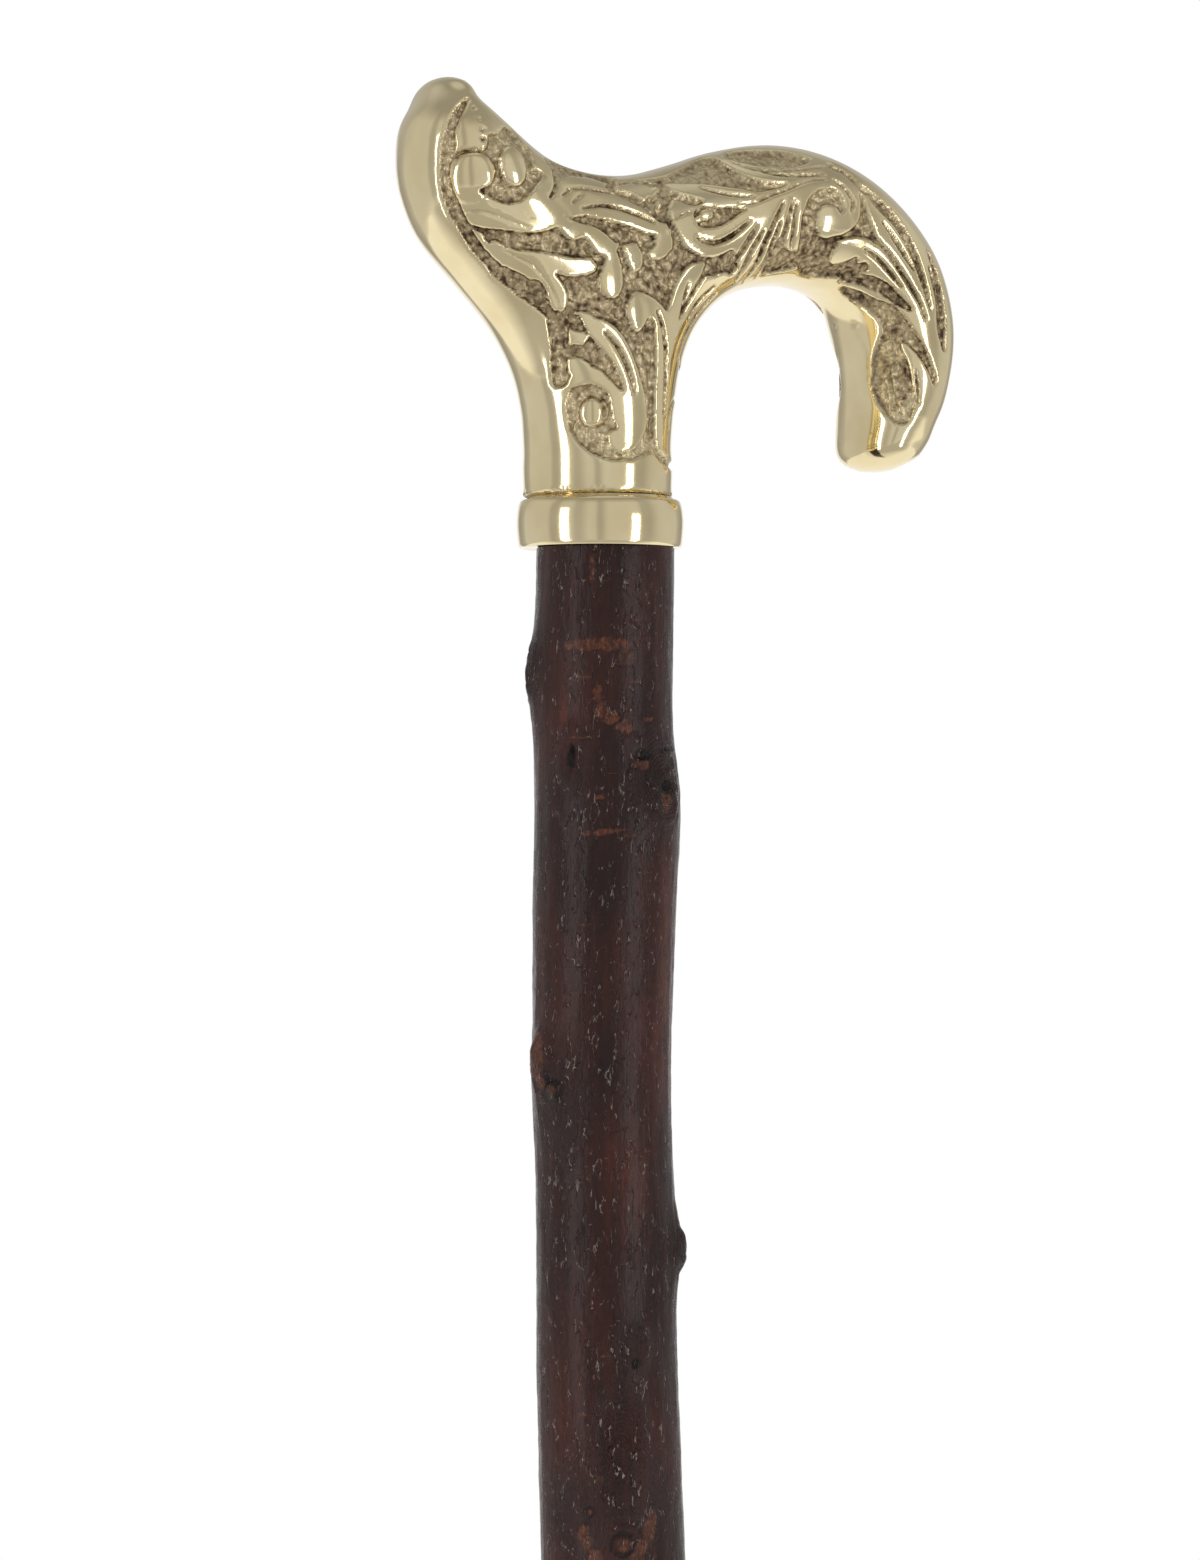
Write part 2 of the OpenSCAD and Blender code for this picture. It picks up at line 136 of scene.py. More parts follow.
# Ornament of one cheek, in mm on the side elevation: x towards the hook, z above the handle's seat
SUNK = {
    "channel inside the nose band": [
        (-30.4, 64.8), (-32.6, 63), (-34, 60.7), (-34.9, 57.8), (-35.2, 54.5), (-34.9, 51), (-34.2, 48.2),
        (-33, 45.6), (-31.2, 43), (-29, 40.3), (-26.6, 38), (-24.3, 36), (-23.9, 37.3), (-25.6, 38.7),
        (-27.4, 40.4), (-29.2, 42.5), (-30.8, 44.8), (-32.2, 47.2), (-33.4, 49.8), (-34.1, 52.3),
        (-33.7, 54.5), (-33.4, 56.6), (-33.4, 58.8), (-32.5, 61.3), (-31.6, 62.8),
    ],
    "pocket under the curved leaf": [
        (-24.9, 36.2), (-23.9, 37.3), (-22, 36.6), (-20.5, 36), (-19, 35.2), (-17.5, 35), (-16.3, 33.4),
        (-15.2, 31.2), (-14.3, 29.7), (-14.9, 28.6), (-16.1, 29.9), (-18.2, 31.4), (-20.6, 33), (-22.8, 34.7),
    ],
    "channel inside the neck band": [
        (-15.3, 29.4), (-14.3, 30.2), (-13, 29.8), (-12.4, 27.8), (-12.2, 25.5), (-11.9, 23), (-11.5, 20.5),
        (-11.3, 18.4), (-12.3, 17.8), (-13, 18.8), (-13.6, 21.8), (-14.2, 25), (-14.9, 27.4),
    ],
    "cup round the nose berry": [
        (-28.2, 57.2), (-27.9, 58.6), (-26.5, 59), (-25.5, 59.2), (-24.3, 60.2), (-22.8, 60.2), (-21.7, 59.2),
        (-20.8, 57.6), (-19.7, 56.8), (-19.7, 54.6), (-19.3, 53.5), (-18.1, 52.8), (-18.6, 51.6), (-20, 50.1),
        (-21.6, 48.4), (-23.2, 47.5), (-25, 47.3), (-27, 47.8), (-29.5, 49.2), (-28.2, 50), (-27.2, 51.2),
        (-27.1, 52.8), (-27.8, 54.3), (-28.9, 55.2), (-30.5, 55.5), (-32.6, 55), (-33.2, 54.2), (-33.6, 55),
        (-32.7, 55.7), (-30.5, 56.1), (-29, 56),
    ],
    "long pocket below the nose leaf": [
        (-31.2, 44.4), (-29, 43.4), (-26, 43), (-23, 42.8), (-20, 42.7), (-17, 43.3), (-15.1, 43.9),
        (-14.2, 43), (-13, 42.2), (-11.5, 42.1), (-10.2, 42.7), (-9.2, 41.8), (-8, 40.4), (-6.8, 39.8),
        (-5.5, 39.6), (-6, 38.7), (-7, 37.2), (-7.6, 38.6), (-8.6, 39.4), (-10, 39.3), (-12, 39.2),
        (-15, 39.5), (-19, 39.8), (-22, 39.9), (-24, 40.4), (-25.6, 41.3), (-26.8, 41), (-28, 42.3),
    ],
    "hollow along the saddle": [
        (-16.2, 55.3), (-15.2, 56.2), (-12.5, 55.7), (-9, 54.8), (-5, 54.3), (-1, 54), (-2.5, 52.9),
        (-4.5, 53), (-7, 53.5), (-10, 53.4), (-12.5, 53.1), (-14.6, 52.4), (-15.4, 53.4),
    ],
    "pocket under the twin stems": [
        (-14.6, 46), (-12.5, 45.7), (-10.2, 46.3), (-7, 46.1), (-3.5, 45.6), (-0.5, 45), (2, 44.3), (3.9, 43.9),
        (3.3, 43), (1.8, 42.2), (0, 42.5), (-1.8, 42.3), (-3, 42.4), (-4.2, 42.4), (-5.8, 43.6), (-7.8, 44.6),
        (-10, 45), (-12.4, 45.4),
    ],
    "field of the neck's shoulder": [
        (-14.9, 36.4), (-13, 36), (-10.8, 36.2), (-8.8, 36.6), (-7.7, 37.3), (-7.5, 38.3), (-8.3, 39.2),
        (-7.2, 40.1), (-5.7, 39.6), (-3.6, 41), (-2.9, 42.6), (-1, 42.3), (1.8, 42.4), (3.2, 43),
        (5, 41.5), (7, 41.5), (7.3, 43.5), (6.6, 45.5), (6.2, 47.5), (5.7, 50.5), (7.7, 50.6), (6.9, 48.6),
        (7.3, 46.8), (8.1, 45), (9, 43.4), (9.9, 42.3), (11.6, 41.5), (13.7, 40.9), (16, 41.1), (18, 41.9),
        (19.3, 42.4), (20.6, 41.2), (21, 39.4), (19, 38.4), (12, 37.5), (8.5, 36), (7, 32), (4, 30), (1.5, 27),
        (-1, 26), (-4, 28.4), (-8, 29.9), (-10.5, 30.3), (-12.4, 29.7), (-13.8, 29.5), (-12.7, 30.8),
        (-12.5, 32.2), (-12.8, 33.6), (-13.7, 35),
    ],
    "field between the tall leaf and the stem": [
        (-8, 29.9), (-5.4, 28.9), (-3, 27.2), (-1.3, 24.8), (0, 22), (1.2, 19), (2, 16.3), (2.3, 13.8),
        (2.2, 11.5), (1.3, 9.5), (0.3, 8.1), (-1, 7.2), (-2.6, 6.8), (-2.4, 5.8), (-0.8, 5.7), (0.6, 6.3),
        (2.2, 6.9), (3.6, 7), (4.8, 6.3), (6.4, 5.5), (8.5, 5), (10.5, 4.8), (12.6, 5), (12.6, 6.3),
        (9, 6.2), (6.5, 6.8), (5, 7.8), (4.1, 9.5), (4, 14), (4.1, 18), (4.3, 22), (4.3, 26), (4, 28.6),
        (3.4, 29.8), (2, 32), (-2, 33),
    ],
    "inside the tall leaf": [
        (-12.3, 29.4), (-10.6, 29.7), (-9.5, 27.8), (-8.2, 26), (-6.2, 23.9), (-4.3, 21.6), (-3, 19.4),
        (-2.5, 17.5), (-3.3, 17.7), (-5, 19.3), (-6.6, 20.7), (-8.2, 21.3), (-9.8, 21.2), (-10.7, 20.2),
        (-11.4, 19), (-12, 21), (-12.2, 25),
    ],
    "cup round the neck berry": [
        (-10.7, 17.4), (-9.6, 17.9), (-8.2, 18.2), (-6.8, 17.8), (-5.6, 17), (-4.9, 15.8), (-4.6, 14),
        (-4.3, 12.4), (-3.6, 11), (-4.8, 10.5), (-5.3, 9.6), (-5, 8.2), (-4.3, 7.2), (-3.2, 6.7), (-2.4, 5.9),
        (-4, 5.5), (-6, 5.9), (-8, 7), (-9.6, 8.8), (-10.6, 11), (-10.9, 13.5), (-11, 15.5),
    ],
    "field behind the long feather": [
        (-4.3, 52), (-2.8, 52.9), (0, 53.4), (3, 53.9), (6, 54.3), (9, 54.9), (12, 56.2), (15, 57.8),
        (17.5, 59), (19.6, 59.3), (20.3, 58), (21.5, 56.8), (23.5, 55.6), (26, 54.9), (28.5, 54.7),
        (30.2, 54.7), (28.5, 53.9), (26, 53.3), (24.3, 53), (22, 53.4), (19, 53.7), (15.5, 54), (12, 54),
        (9, 53.9), (7.6, 53.4), (8.4, 52.4), (10.2, 51.7), (12.5, 51.1), (13.8, 50.6), (12.5, 49.9),
        (11, 50), (9.5, 50.5), (7.8, 50.7), (6.9, 50.2), (6.3, 48.6), (6.3, 46.6), (5.3, 46.3), (3.5, 47.6),
        (1.5, 48.9), (-0.5, 49.8), (-2.5, 50.4), (-3.6, 51),
    ],
    "pocket behind the palm": [
        (11.9, 48.6), (11.9, 47.3), (12.6, 46.3), (14, 46), (16, 46.3), (18, 47.2), (20, 48.6), (21.8, 49.8),
        (19.5, 49.9), (17, 49.6), (15, 49.9), (13.5, 49.6),
    ],
    "lens on the top": [
        (21.6, 59.6), (23, 60.5), (26, 61), (30, 61.2), (33, 61), (36, 60.4), (36.8, 59.8), (34, 58.5),
        (31, 57.9), (27, 57.9), (24, 58.4), (22, 59.2),
    ],
    "hollow of the volute": [
        (33.6, 50.8), (34.2, 52.1), (35.3, 53.3), (37, 54.3), (39, 54.6), (40.5, 53.9), (41.2, 52.5),
        (41.3, 51.1), (40.9, 50.2), (40.3, 50.6), (39.7, 51.4), (38.5, 51.7), (37.2, 51.4), (36.3, 50.6),
        (35.9, 49.2), (36, 47.6), (36.6, 46.5), (37.5, 45.8), (39, 45.5), (41, 45), (40.4, 44), (40.2, 43),
        (40.7, 42), (42, 41.6), (43.8, 42.2), (45.2, 43), (45.8, 42), (47.3, 42.1), (47.9, 41), (46.5, 40.3),
        (44.2, 39.9), (42, 39.8), (39, 39.9), (36.5, 40.3), (34.8, 41.3), (33.7, 42.8), (33.1, 45),
        (32.9, 47.5), (33, 49.4),
    ],
    "cleft right of the volute": [
        (38, 45.2), (40, 45.3), (42, 45.9), (44, 46.3), (46, 46.3), (47.6, 45.9), (48.8, 45.2), (49.2, 45.7),
        (48, 46.9), (47.4, 48.2), (46.7, 49.9), (46.2, 51.5), (45.9, 53), (45.2, 54), (45.1, 52), (44.8, 50),
        (44, 48.4), (42.7, 47.2), (41, 46.4), (39.4, 46),
    ],
    "sweep over the fan": [
        (40.5, 59.3), (42, 59.4), (44, 58.4), (45.7, 57.2), (46.5, 56), (48.6, 55), (50, 53.6), (51.5, 52.3),
        (53.2, 50.6), (54.8, 48.6), (56.3, 46.2), (57.6, 43.6), (58.6, 41), (59.6, 38), (60.5, 34.3),
        (59.2, 37), (58, 39.6), (56.8, 42.2), (55.4, 44.6), (53.9, 46.9), (52.4, 48.8), (50.9, 50.1),
        (49.2, 51.4), (47.9, 52.6), (46.9, 53.9), (45.8, 54.6), (44.8, 55.6), (43.7, 56.8), (42.4, 58), (41.2, 58.7),
    ],
    "wedge under the crown": [
        (60.3, 45.4), (61.1, 44.6), (62.4, 42), (63.3, 39), (64, 35.5), (64.1, 31.5), (63.9, 27.6), (62.7, 29.6),
        (62, 32), (61.8, 35), (61.9, 38), (61.2, 41.5), (60.4, 44),
    ],
    "dark cleft under the fan": [
        (44.2, 40), (46, 40.3), (48.3, 40.1), (50.5, 39.5), (52.3, 38.5), (54, 37.1), (55.3, 35.9),
        (56.7, 34.4), (55.4, 34.6), (53.8, 35.4), (52.2, 36.5), (50.6, 37.5), (48.8, 38.3), (47, 38.9), (45.3, 39.1),
    ],
    "panel of the hook": [
        (45.6, 38.4), (47.3, 38), (49.3, 37.2), (51, 36.2), (52.4, 35.7), (53.6, 35.1), (54.8, 34),
        (56, 32.6), (57.3, 30.9), (58.8, 28.8), (60.2, 26.5), (61.2, 24.6), (62, 22.8), (61.7, 21.6),
        (60.8, 23), (59.6, 25), (58.3, 26.6), (57, 27.9), (55.8, 28.9), (55.2, 28.9), (55.6, 27.5),
        (56.5, 25.6), (57.1, 23.5), (57.4, 21.3), (57.9, 19.3), (58.2, 18.2), (57.7, 16.6), (57, 15),
        (56, 14.4), (55, 14.8), (53.9, 16.2), (53.2, 18.5), (52.8, 21.5), (52.7, 25), (52.7, 28),
        (52.9, 30), (52.8, 31.6), (52.2, 32.9), (51, 34.3), (49.4, 35.8), (47.6, 37),
    ],
    "gap at the palm's heel": [
        (28.5, 45), (29.5, 45.2), (30.3, 43.9), (31.6, 43.2), (33, 43.2), (34.2, 42.5), (35, 41.2),
        (33, 40.4), (30, 39.8), (28, 39.5), (27.6, 41.5), (28, 43.3),
    ],
}
RAISED = {
    "nose leaf tongue": [
        (-15.2, 44.3), (-13, 45.1), (-10, 44.8), (-8, 44.3), (-6, 43.3), (-4.4, 41.8), (-3.4, 40), (-2.7, 38),
        (-2.5, 36.2), (-2.8, 34.3), (-3.6, 33.1), (-5, 32.7), (-6.3, 33.4), (-7.1, 34.8), (-7.1, 36.2),
        (-6.5, 38), (-6, 39.4), (-7.3, 40.3), (-8.7, 41.5), (-10.1, 42.7), (-11.5, 42.2), (-13, 42.3), (-14.2, 43.1),
    ],
    "small tongue": [
        (-2.7, 41.8), (-1.6, 42.2), (0, 42.3), (1.1, 41.2), (1.5, 39.8), (1.1, 38.3), (0.1, 37.6), (-1, 37.8),
        (-1.8, 39.2), (-2.3, 40.6),
    ],
    "stem tongue": [
        (3.6, 44.6), (4.2, 43.2), (3.3, 42.1), (2.2, 40.9), (2.6, 40.1), (4.3, 39.9), (5.8, 40.4), (6.7, 41.6),
        (7, 43.2), (6.6, 44.8), (6, 46.2), (4.8, 46.3),
    ],
    "curl of the neck stem": [
        (-1.9, 31), (-1.5, 32.7), (-0.6, 33.9), (0.8, 34.3), (2.6, 33.9), (4.6, 33), (6.2, 31.9), (7.3, 30.3),
        (7.7, 28.8), (7.5, 26), (5.2, 25), (4.4, 27.6), (3.9, 29.2), (3.1, 29.9), (2.3, 29.4), (1.6, 28.3),
        (0.5, 27.4), (-0.6, 27.8), (-1.2, 29), (-1.9, 29.9),
    ],
    "neck stem": [
        (4.1, 29), (4.4, 24), (4.3, 18), (4, 13), (4.3, 9.5), (5.2, 7.8), (7, 6.8), (9, 6.4), (12, 6.6), (12.4, 12),
        (12, 20), (12, 26), (11, 28), (10, 30), (9, 31), (8, 30), (7.6, 28), (6, 28),
    ],
    "inner leaf of the shoulder": [
        (8.9, 29.2), (8.1, 31), (7.7, 33), (8, 35.2), (8.9, 37.2), (10.2, 39), (11.8, 39.9), (13.9, 40.1),
        (13.8, 38.8), (12.9, 36.5), (11.8, 34), (10.9, 32), (10.2, 30), (9.6, 28.5),
    ],
    "outer leaf of the shoulder": [
        (10.3, 29.4), (11, 31.4), (12.4, 33.9), (13.9, 35.9), (15.9, 37.7), (18, 38.7), (19.8, 38.5),
        (21, 37.2), (22, 35.5), (18, 32), (14.5, 28), (12, 26),
    ],
    "small lobe over the stems": [
        (-2.6, 52.2), (0, 53), (3, 53.3), (5, 53), (5.6, 52), (5, 51.1), (3.8, 50.8), (2.8, 50), (1.8, 50.4),
        (0.5, 51.3), (-1, 51.6),
    ],
    "upper leaf scrap": [
        (-11.9, 27.4), (-11, 27.1), (-9.8, 27), (-8.6, 26.4), (-8.9, 25.4), (-9.6, 24.6), (-10.7, 24.9), (-11.7, 24.7),
    ],
    "lower leaf scrap": [(-11.6, 22.4), (-10.3, 22.7), (-8.9, 22.2), (-8.1, 21.2), (-9.6, 20.6), (-11, 19.8), (-11.5, 20.8)],
}
# Engraved lines: widest width, depth as a share of the full relief, points
CUTS = [
    (0.7, 0.8, [(-15.6, 53.2), (-15.5, 51.3), (-16.1, 49.9), (-17.1, 48.7)]),
    (0.45, 0.6, [(-14.6, 49.2), (-13.4, 50), (-12.1, 50.9)]),
    (0.45, 0.6, [(-12.5, 48.2), (-11.4, 49.2), (-10.2, 50.1)]),
    (0.6, 0.6, [(-13.4, 50.6), (-10, 51), (-6, 51), (-3.2, 50.7)]),
    (0.8, 0.8, [(-10.6, 47.5), (-8.5, 48), (-6, 48.4), (-3, 48.2), (0, 47.5), (2, 46.9), (3.8, 46.2)]),
    (0.6, 0.25, [(-31, 46), (-28, 45.9), (-24.5, 44.7), (-20.5, 43.5)]),
    (0.5, 0.25, [(-25, 40.4), (-22, 39), (-19, 37.6), (-16.5, 35.3), (-14.6, 32.6), (-13.7, 30.4)]),
    (0.45, 0.6, [(-17.6, 35), (-16.8, 34.2), (-16, 33.2)]),
    (0.9, 0.8, [(-5.9, 26.9), (-3.9, 24.9), (-2.3, 22.3), (-1.1, 19.5), (-0.4, 17)]),
    (1.0, 0.9, [(4.5, 31.2), (5.5, 29.3), (6.5, 26.2), (6.9, 22), (6.8, 18), (6.4, 14.2)]),
    (0.6, 0.7, [(10.1, 31.2), (10.5, 34), (10.9, 36.6)]),
    (0.9, 0.9, [(10, 30.6), (11.3, 33), (12.6, 35.5), (13.6, 37.4), (14.6, 38.6)]),
    (0.7, 0.7, [(12.2, 30.6), (14, 33.5), (16.9, 36.4)]),
    (0.8, 0.7, [(10.5, 24.2), (11.6, 26.6), (13.2, 29.3), (15.4, 32.4), (17.9, 35.2)]),
    (0.8, 0.5, [(10.6, 24.2), (12, 22.3), (13.8, 21.4)]),
    (0.8, 0.5, [(7.9, 11.5), (8.4, 14.5), (9.8, 16.2), (12.4, 17.6)]),
    (0.6, 0.6, [(20.5, 50.6), (22, 50.5), (24, 51.1), (27, 52.5), (30, 53.7), (33, 55), (36, 55.9), (38.5, 56.2)]),
    (0.5, 0.35, [(7.4, 46.9), (9.3, 47.9), (11.8, 48.9)]),
    (0.6, 0.7, [(14.2, 53), (17, 52.4), (20, 52), (23.5, 52)]),
    (0.9, 0.9, [(12, 44.2), (13.5, 43.6), (15.6, 43.5), (17.5, 44.1), (19.6, 45.4), (22.3, 47.6)]),
    (1.1, 0.9, [(23.8, 46.9), (22.4, 44.4), (21, 42), (20, 40)]),
    (0.9, 0.9, [(25, 46.1), (23.4, 43), (22.6, 40.3), (21.8, 37.8)]),
    (0.9, 0.9, [(29, 51.2), (27.2, 47.6), (25.7, 44), (25.2, 41), (24.3, 38)]),
    (0.8, 0.9, [(28.5, 48), (27.6, 45), (27.1, 42), (26.8, 39)]),
    (0.9, 0.9, [(31, 51.7), (30.1, 48.4), (29.4, 45.4), (29, 43)]),
    (0.7, 0.9, [(31.7, 51.3), (31.2, 47.5), (31.5, 43.8)]),
    (0.7, 0.7, [(26.3, 56.8), (29, 56.4), (33, 56.5), (36, 56.8), (38.4, 57.1)]),
    (0.5, 0.5, [(22, 58.4), (25, 57.1), (30, 57.2), (35, 57.8), (38, 58.4), (40, 58.6), (42, 57.8)]),
    (0.7, 0.8, [(40.1, 56.1), (41.7, 55.1), (42.8, 53.7), (43.3, 52.2), (42.8, 50.8)]),
    (0.8, 0.9, [(47.6, 46.3), (50, 44.8), (52, 42.9), (54, 40.7), (56.3, 38), (58, 35.8), (59.4, 33)]),
    (0.8, 0.9, [(49.5, 49.4), (51.5, 47.2), (54, 44.2), (56.4, 41.5)]),
    (0.7, 0.9, [(46.2, 44.4), (48.5, 43.3), (51, 41.4), (54.2, 38.4)]),
    (0.6, 0.8, [(60, 42.4), (61, 39.5), (61.8, 36.8), (62, 34)]),
    (0.6, 0.8, [(57.8, 24), (58.2, 22), (58.4, 20), (58.5, 18)]),
    (0.9, 0.3, [(49.9, 33.4), (50.3, 32.5), (50.6, 31.6)]),
    (0.5, 0.6, [(-30.0, 63.3), (-29.7, 63.0)]),
    (0.4, 0.6, [(-29.4, 61.3), (-29.3, 61.0)]),
    (0.5, 0.7, [(-29.1, 59.6), (-28.9, 59.1)]),
    (0.7, 0.9, [(-29.3, 57.7), (-28.8, 57.8)]),
    (0.35, 0.2, [(50.6, 31.8), (51.6, 29.2), (52.3, 26), (52.5, 22)]),
]
# Veins that stand up from the sunk ground
VEINS = [
    (0.7, 0.6, [(54.5, 25), (54.8, 21.8), (55.3, 18.8), (55.9, 16.2)]),
    (0.6, 0.5, [(54.8, 21.8), (55.9, 22.8), (56.3, 24.3)]),
    (0.6, 0.5, [(55.3, 18.8), (56.5, 19.4), (57, 20.6)]),
    (0.9, 0.7, [(-6.2, 15.9), (-5.4, 14.4), (-5.4, 13), (-6.4, 11.5)]),
]
# Round forms: x, z, half length, half height, rise, lean in degrees
BERRIES = [
    (-23.8, 53.6, 2.5, 3.5, 0.6, 8),
    (-7.7, 13.5, 1.7, 2.5, 0.5, 0),
    (14.1, 48.3, 1.4, 1.0, 0.3, 10),
    (12.6, 47.4, 0.7, 0.7, 0.2, 0),
    (5.9, 52.4, 0.7, 0.6, 0.2, 0),
    (5.3, 49.6, 0.6, 0.7, 0.2, 0),
    (6.7, 44.9, 0.5, 0.7, 0.1, 0),
]
SWELLS = [
    (-18.0, 46.9, 5.5, 2.6, 0.3, -18),
    (-30.6, 51.2, 3.2, 4.3, 0.7, 4),
    (39.9, 48.7, 3.4, 2.8, 0.3, 10),
    (0.1, 30.6, 2.0, 3.0, 0.3, 10),
    (-4.7, 35.6, 2.2, 3.2, 0.2, 0),
]


def turned(name, section, base, steps):
    """A closed section in mm, x out from the axis and y up from a base height, spun about the axis."""
    bm = bmesh.new()
    ring = [bm.verts.new((x * MM, 0, (base + y) * MM)) for x, y in section]
    loop = [bm.edges.new((ring[i], ring[(i + 1) % len(ring)])) for i in range(len(ring))]
    on_axis = min(x for x, y in section) <= 0
    if on_axis:
        bm.edges.remove(loop.pop())
    bmesh.ops.spin(
        bm, geom=ring + loop, cent=(0, 0, 0), axis=(0, 0, 1), angle=2 * math.pi, steps=steps, use_merge=True
    )
    bmesh.ops.remove_doubles(bm, verts=bm.verts, dist=0.001 * MM)
    bmesh.ops.recalc_face_normals(bm, faces=bm.faces)
    mesh = bpy.data.meshes.new(name)
    bm.to_mesh(mesh)
    bm.free()
    mesh.shade_smooth()
    mesh.set_sharp_from_angle(angle=math.radians(38))
    return mesh


# Relief of the handle

CARVING = SEAT  # height that the carving's z is measured from
# Soft nudges of the body on the side elevation, in mm: middle x and z, reach, and how far in x and z
NUDGES = [
    (69, 14, 5.0, 1.1, -0.6), (65.8, 12.2, 3.2, 0.9, -0.6), (62.8, 11.4, 3.0, 1.35, -0.95),
    (51, 8, 4.0, -0.3, -0.6),
    (-37.5, 62.7, 4.0, -0.25, 0.1), (-35.8, 67.2, 2.7, 0.95, -0.5), (-25.5, 68, 3.0, -0.35, -0.35),
]


def through(points, closed, pieces=6):
    """A smooth line through given points."""
    p = np.array(points, float)
    before = np.roll(p, 1, 0) if closed else np.vstack([2 * p[0] - p[1], p[:-1]])
    after = np.roll(p, -1, 0) if closed else np.vstack([p[1:], 2 * p[-1] - p[-2]])
    beyond = np.roll(p, -2, 0) if closed else np.vstack([p[2:], after[-1], after[-1]])
    if not closed:
        beyond[-2] = 2 * p[-1] - p[-2]
    t = (np.arange(pieces) / pieces)[None, :, None]
    a, b, c, d = (q[:, None, :] for q in (before, p, after, beyond))
    line = (2 * b + (c - a) * t + (2 * a - 5 * b + 4 * c - d) * t**2 + (3 * b - a - 3 * c + d) * t**3) / 2
    return line.reshape(-1, 2) if closed else np.vstack([line[:-1].reshape(-1, 2), p[-1]])


class Cheek:
    """Height map of one carved cheek on the side elevation, in mm."""

    def __init__(self, cell=0.1):
        self.cell = cell
        self.x = np.arange(-42, 74, cell)
        self.z = np.arange(-2, 73, cell)
        self.level = np.ones((len(self.z), len(self.x)))
        self.dome = np.zeros_like(self.level)

    def window(self, points, pad):
        low = np.floor((points.min(0) - pad - (-42, -2)) / self.cell).astype(int)
        high = np.ceil((points.max(0) + pad - (-42, -2)) / self.cell).astype(int)
        view = (slice(max(low[1], 0), high[1]), slice(max(low[0], 0), high[0]))
        return view, self.x[view[1]][None, :], self.z[view[0]][:, None]

    def fill(self, points, value):
        line = through(points, True)
        view, x, z = self.window(line, self.cell)
        inside = np.zeros(np.broadcast_shapes(x.shape, z.shape), bool)
        for (ax, az), (bx, bz) in zip(line, np.roll(line, -1, 0)):
            if az != bz:
                inside ^= ((az > z) != (bz > z)) & (x < (bx - ax) * (z - az) / (bz - az) + ax)
        self.level[view][inside] = value

    def stroke(self, points, width):
        """Closeness to a line that tapers at both ends: 1 along its middle, 0 past its edge."""
        line = through(points, False)
        view, x, z = self.window(line, width)
        along = np.r_[0, np.cumsum(np.hypot(*np.diff(line, axis=0).T))]
        along /= along[-1]
        best = np.zeros(np.broadcast_shapes(x.shape, z.shape))
        for k in range(len(line) - 1):
            start, step = line[k], line[k + 1] - line[k]
            t = np.clip(((x - start[0]) * step[0] + (z - start[1]) * step[1]) / (step @ step), 0, 1)
            gap = np.hypot(x - start[0] - t * step[0], z - start[1] - t * step[1])
            s = np.clip(along[k] + (along[k + 1] - along[k]) * t, 0.02, 0.98)
            half = width / 2 * (0.35 + 0.65 * np.sin(np.pi * s) ** 0.6)
            best = np.maximum(best, np.clip(1 - (gap / half) ** 2, 0, 1))
        return view, np.sqrt(best)

    def cut(self, width, depth, points):
        view, near = self.stroke(points, width)
        self.level[view] = np.minimum(self.level[view], 1 - depth * near)

    def vein(self, width, height, points):
        view, near = self.stroke(points, width)
        self.level[view] = np.maximum(self.level[view], height * near)

    def swell(self, x, z, half_x, half_z, rise, lean, proud):
        turn = math.radians(lean)
        dx, dz = self.x[None, :] - x, self.z[:, None] - z
        u = (dx * math.cos(turn) + dz * math.sin(turn)) / half_x
        v = (dz * math.cos(turn) - dx * math.sin(turn)) / half_z
        reach = 1 - u * u - v * v
        if proud:
            self.level[reach > 0] = 1
        self.dome = np.maximum(self.dome, rise * np.sqrt(np.clip(reach, 0, 1)))

    def soften(self, field, spread):
        fx = np.fft.rfftfreq(field.shape[1], self.cell)[None, :]
        fz = np.fft.fftfreq(field.shape[0], self.cell)[:, None]
        keep = np.exp(-2 * (math.pi * spread) ** 2 * (fx**2 + fz**2))
        return np.fft.irfft2(np.fft.rfft2(field) * keep, field.shape)

    def carve(self):
        for points in SUNK.values():
            self.fill(points, 0)
        for points in RAISED.values():
            self.fill(points, 1)
        for width, depth, points in CUTS:
            self.cut(width, depth, points)
        for width, height, points in VEINS:
            self.vein(width, height, points)
        for form in BERRIES:
            self.swell(*form, proud=True)
        for form in SWELLS:
            self.swell(*form, proud=False)

    def sample(self, field, x, z):
        i = np.clip((x + 42) / self.cell, 0, field.shape[1] - 1.001)
        j = np.clip((z + 2) / self.cell, 0, field.shape[0] - 1.001)
        i0, j0 = i.astype(int), j.astype(int)
        u, v = i - i0, j - j0
        low = field[j0, i0] * (1 - u) + field[j0, i0 + 1] * u
        high = field[j0 + 1, i0] * (1 - u) + field[j0 + 1, i0 + 1] * u
        return low * (1 - v) + high * v


def relax(points, edges, rounds, strength, weight):
    """Moves each point towards the mean of its neighbours, by its own weight."""
    a, b = edges[:, 0], edges[:, 1]
    count = np.bincount(np.r_[a, b], minlength=len(points))[:, None]
    for k in range(rounds):
        pull = strength if isinstance(strength, float) else strength[k % len(strength)]
        total = np.stack(
            [
                np.bincount(a, points[b, i], len(points)) + np.bincount(b, points[a, i], len(points))
                for i in range(3)
            ],
            1,
        )
        points = points + (total / count - points) * pull * weight
    return points


def edge_pairs(mesh):
    flat = np.empty(len(mesh.edges) * 2, int)
    mesh.edges.foreach_get("vertices", flat)
    return flat.reshape(-1, 2)


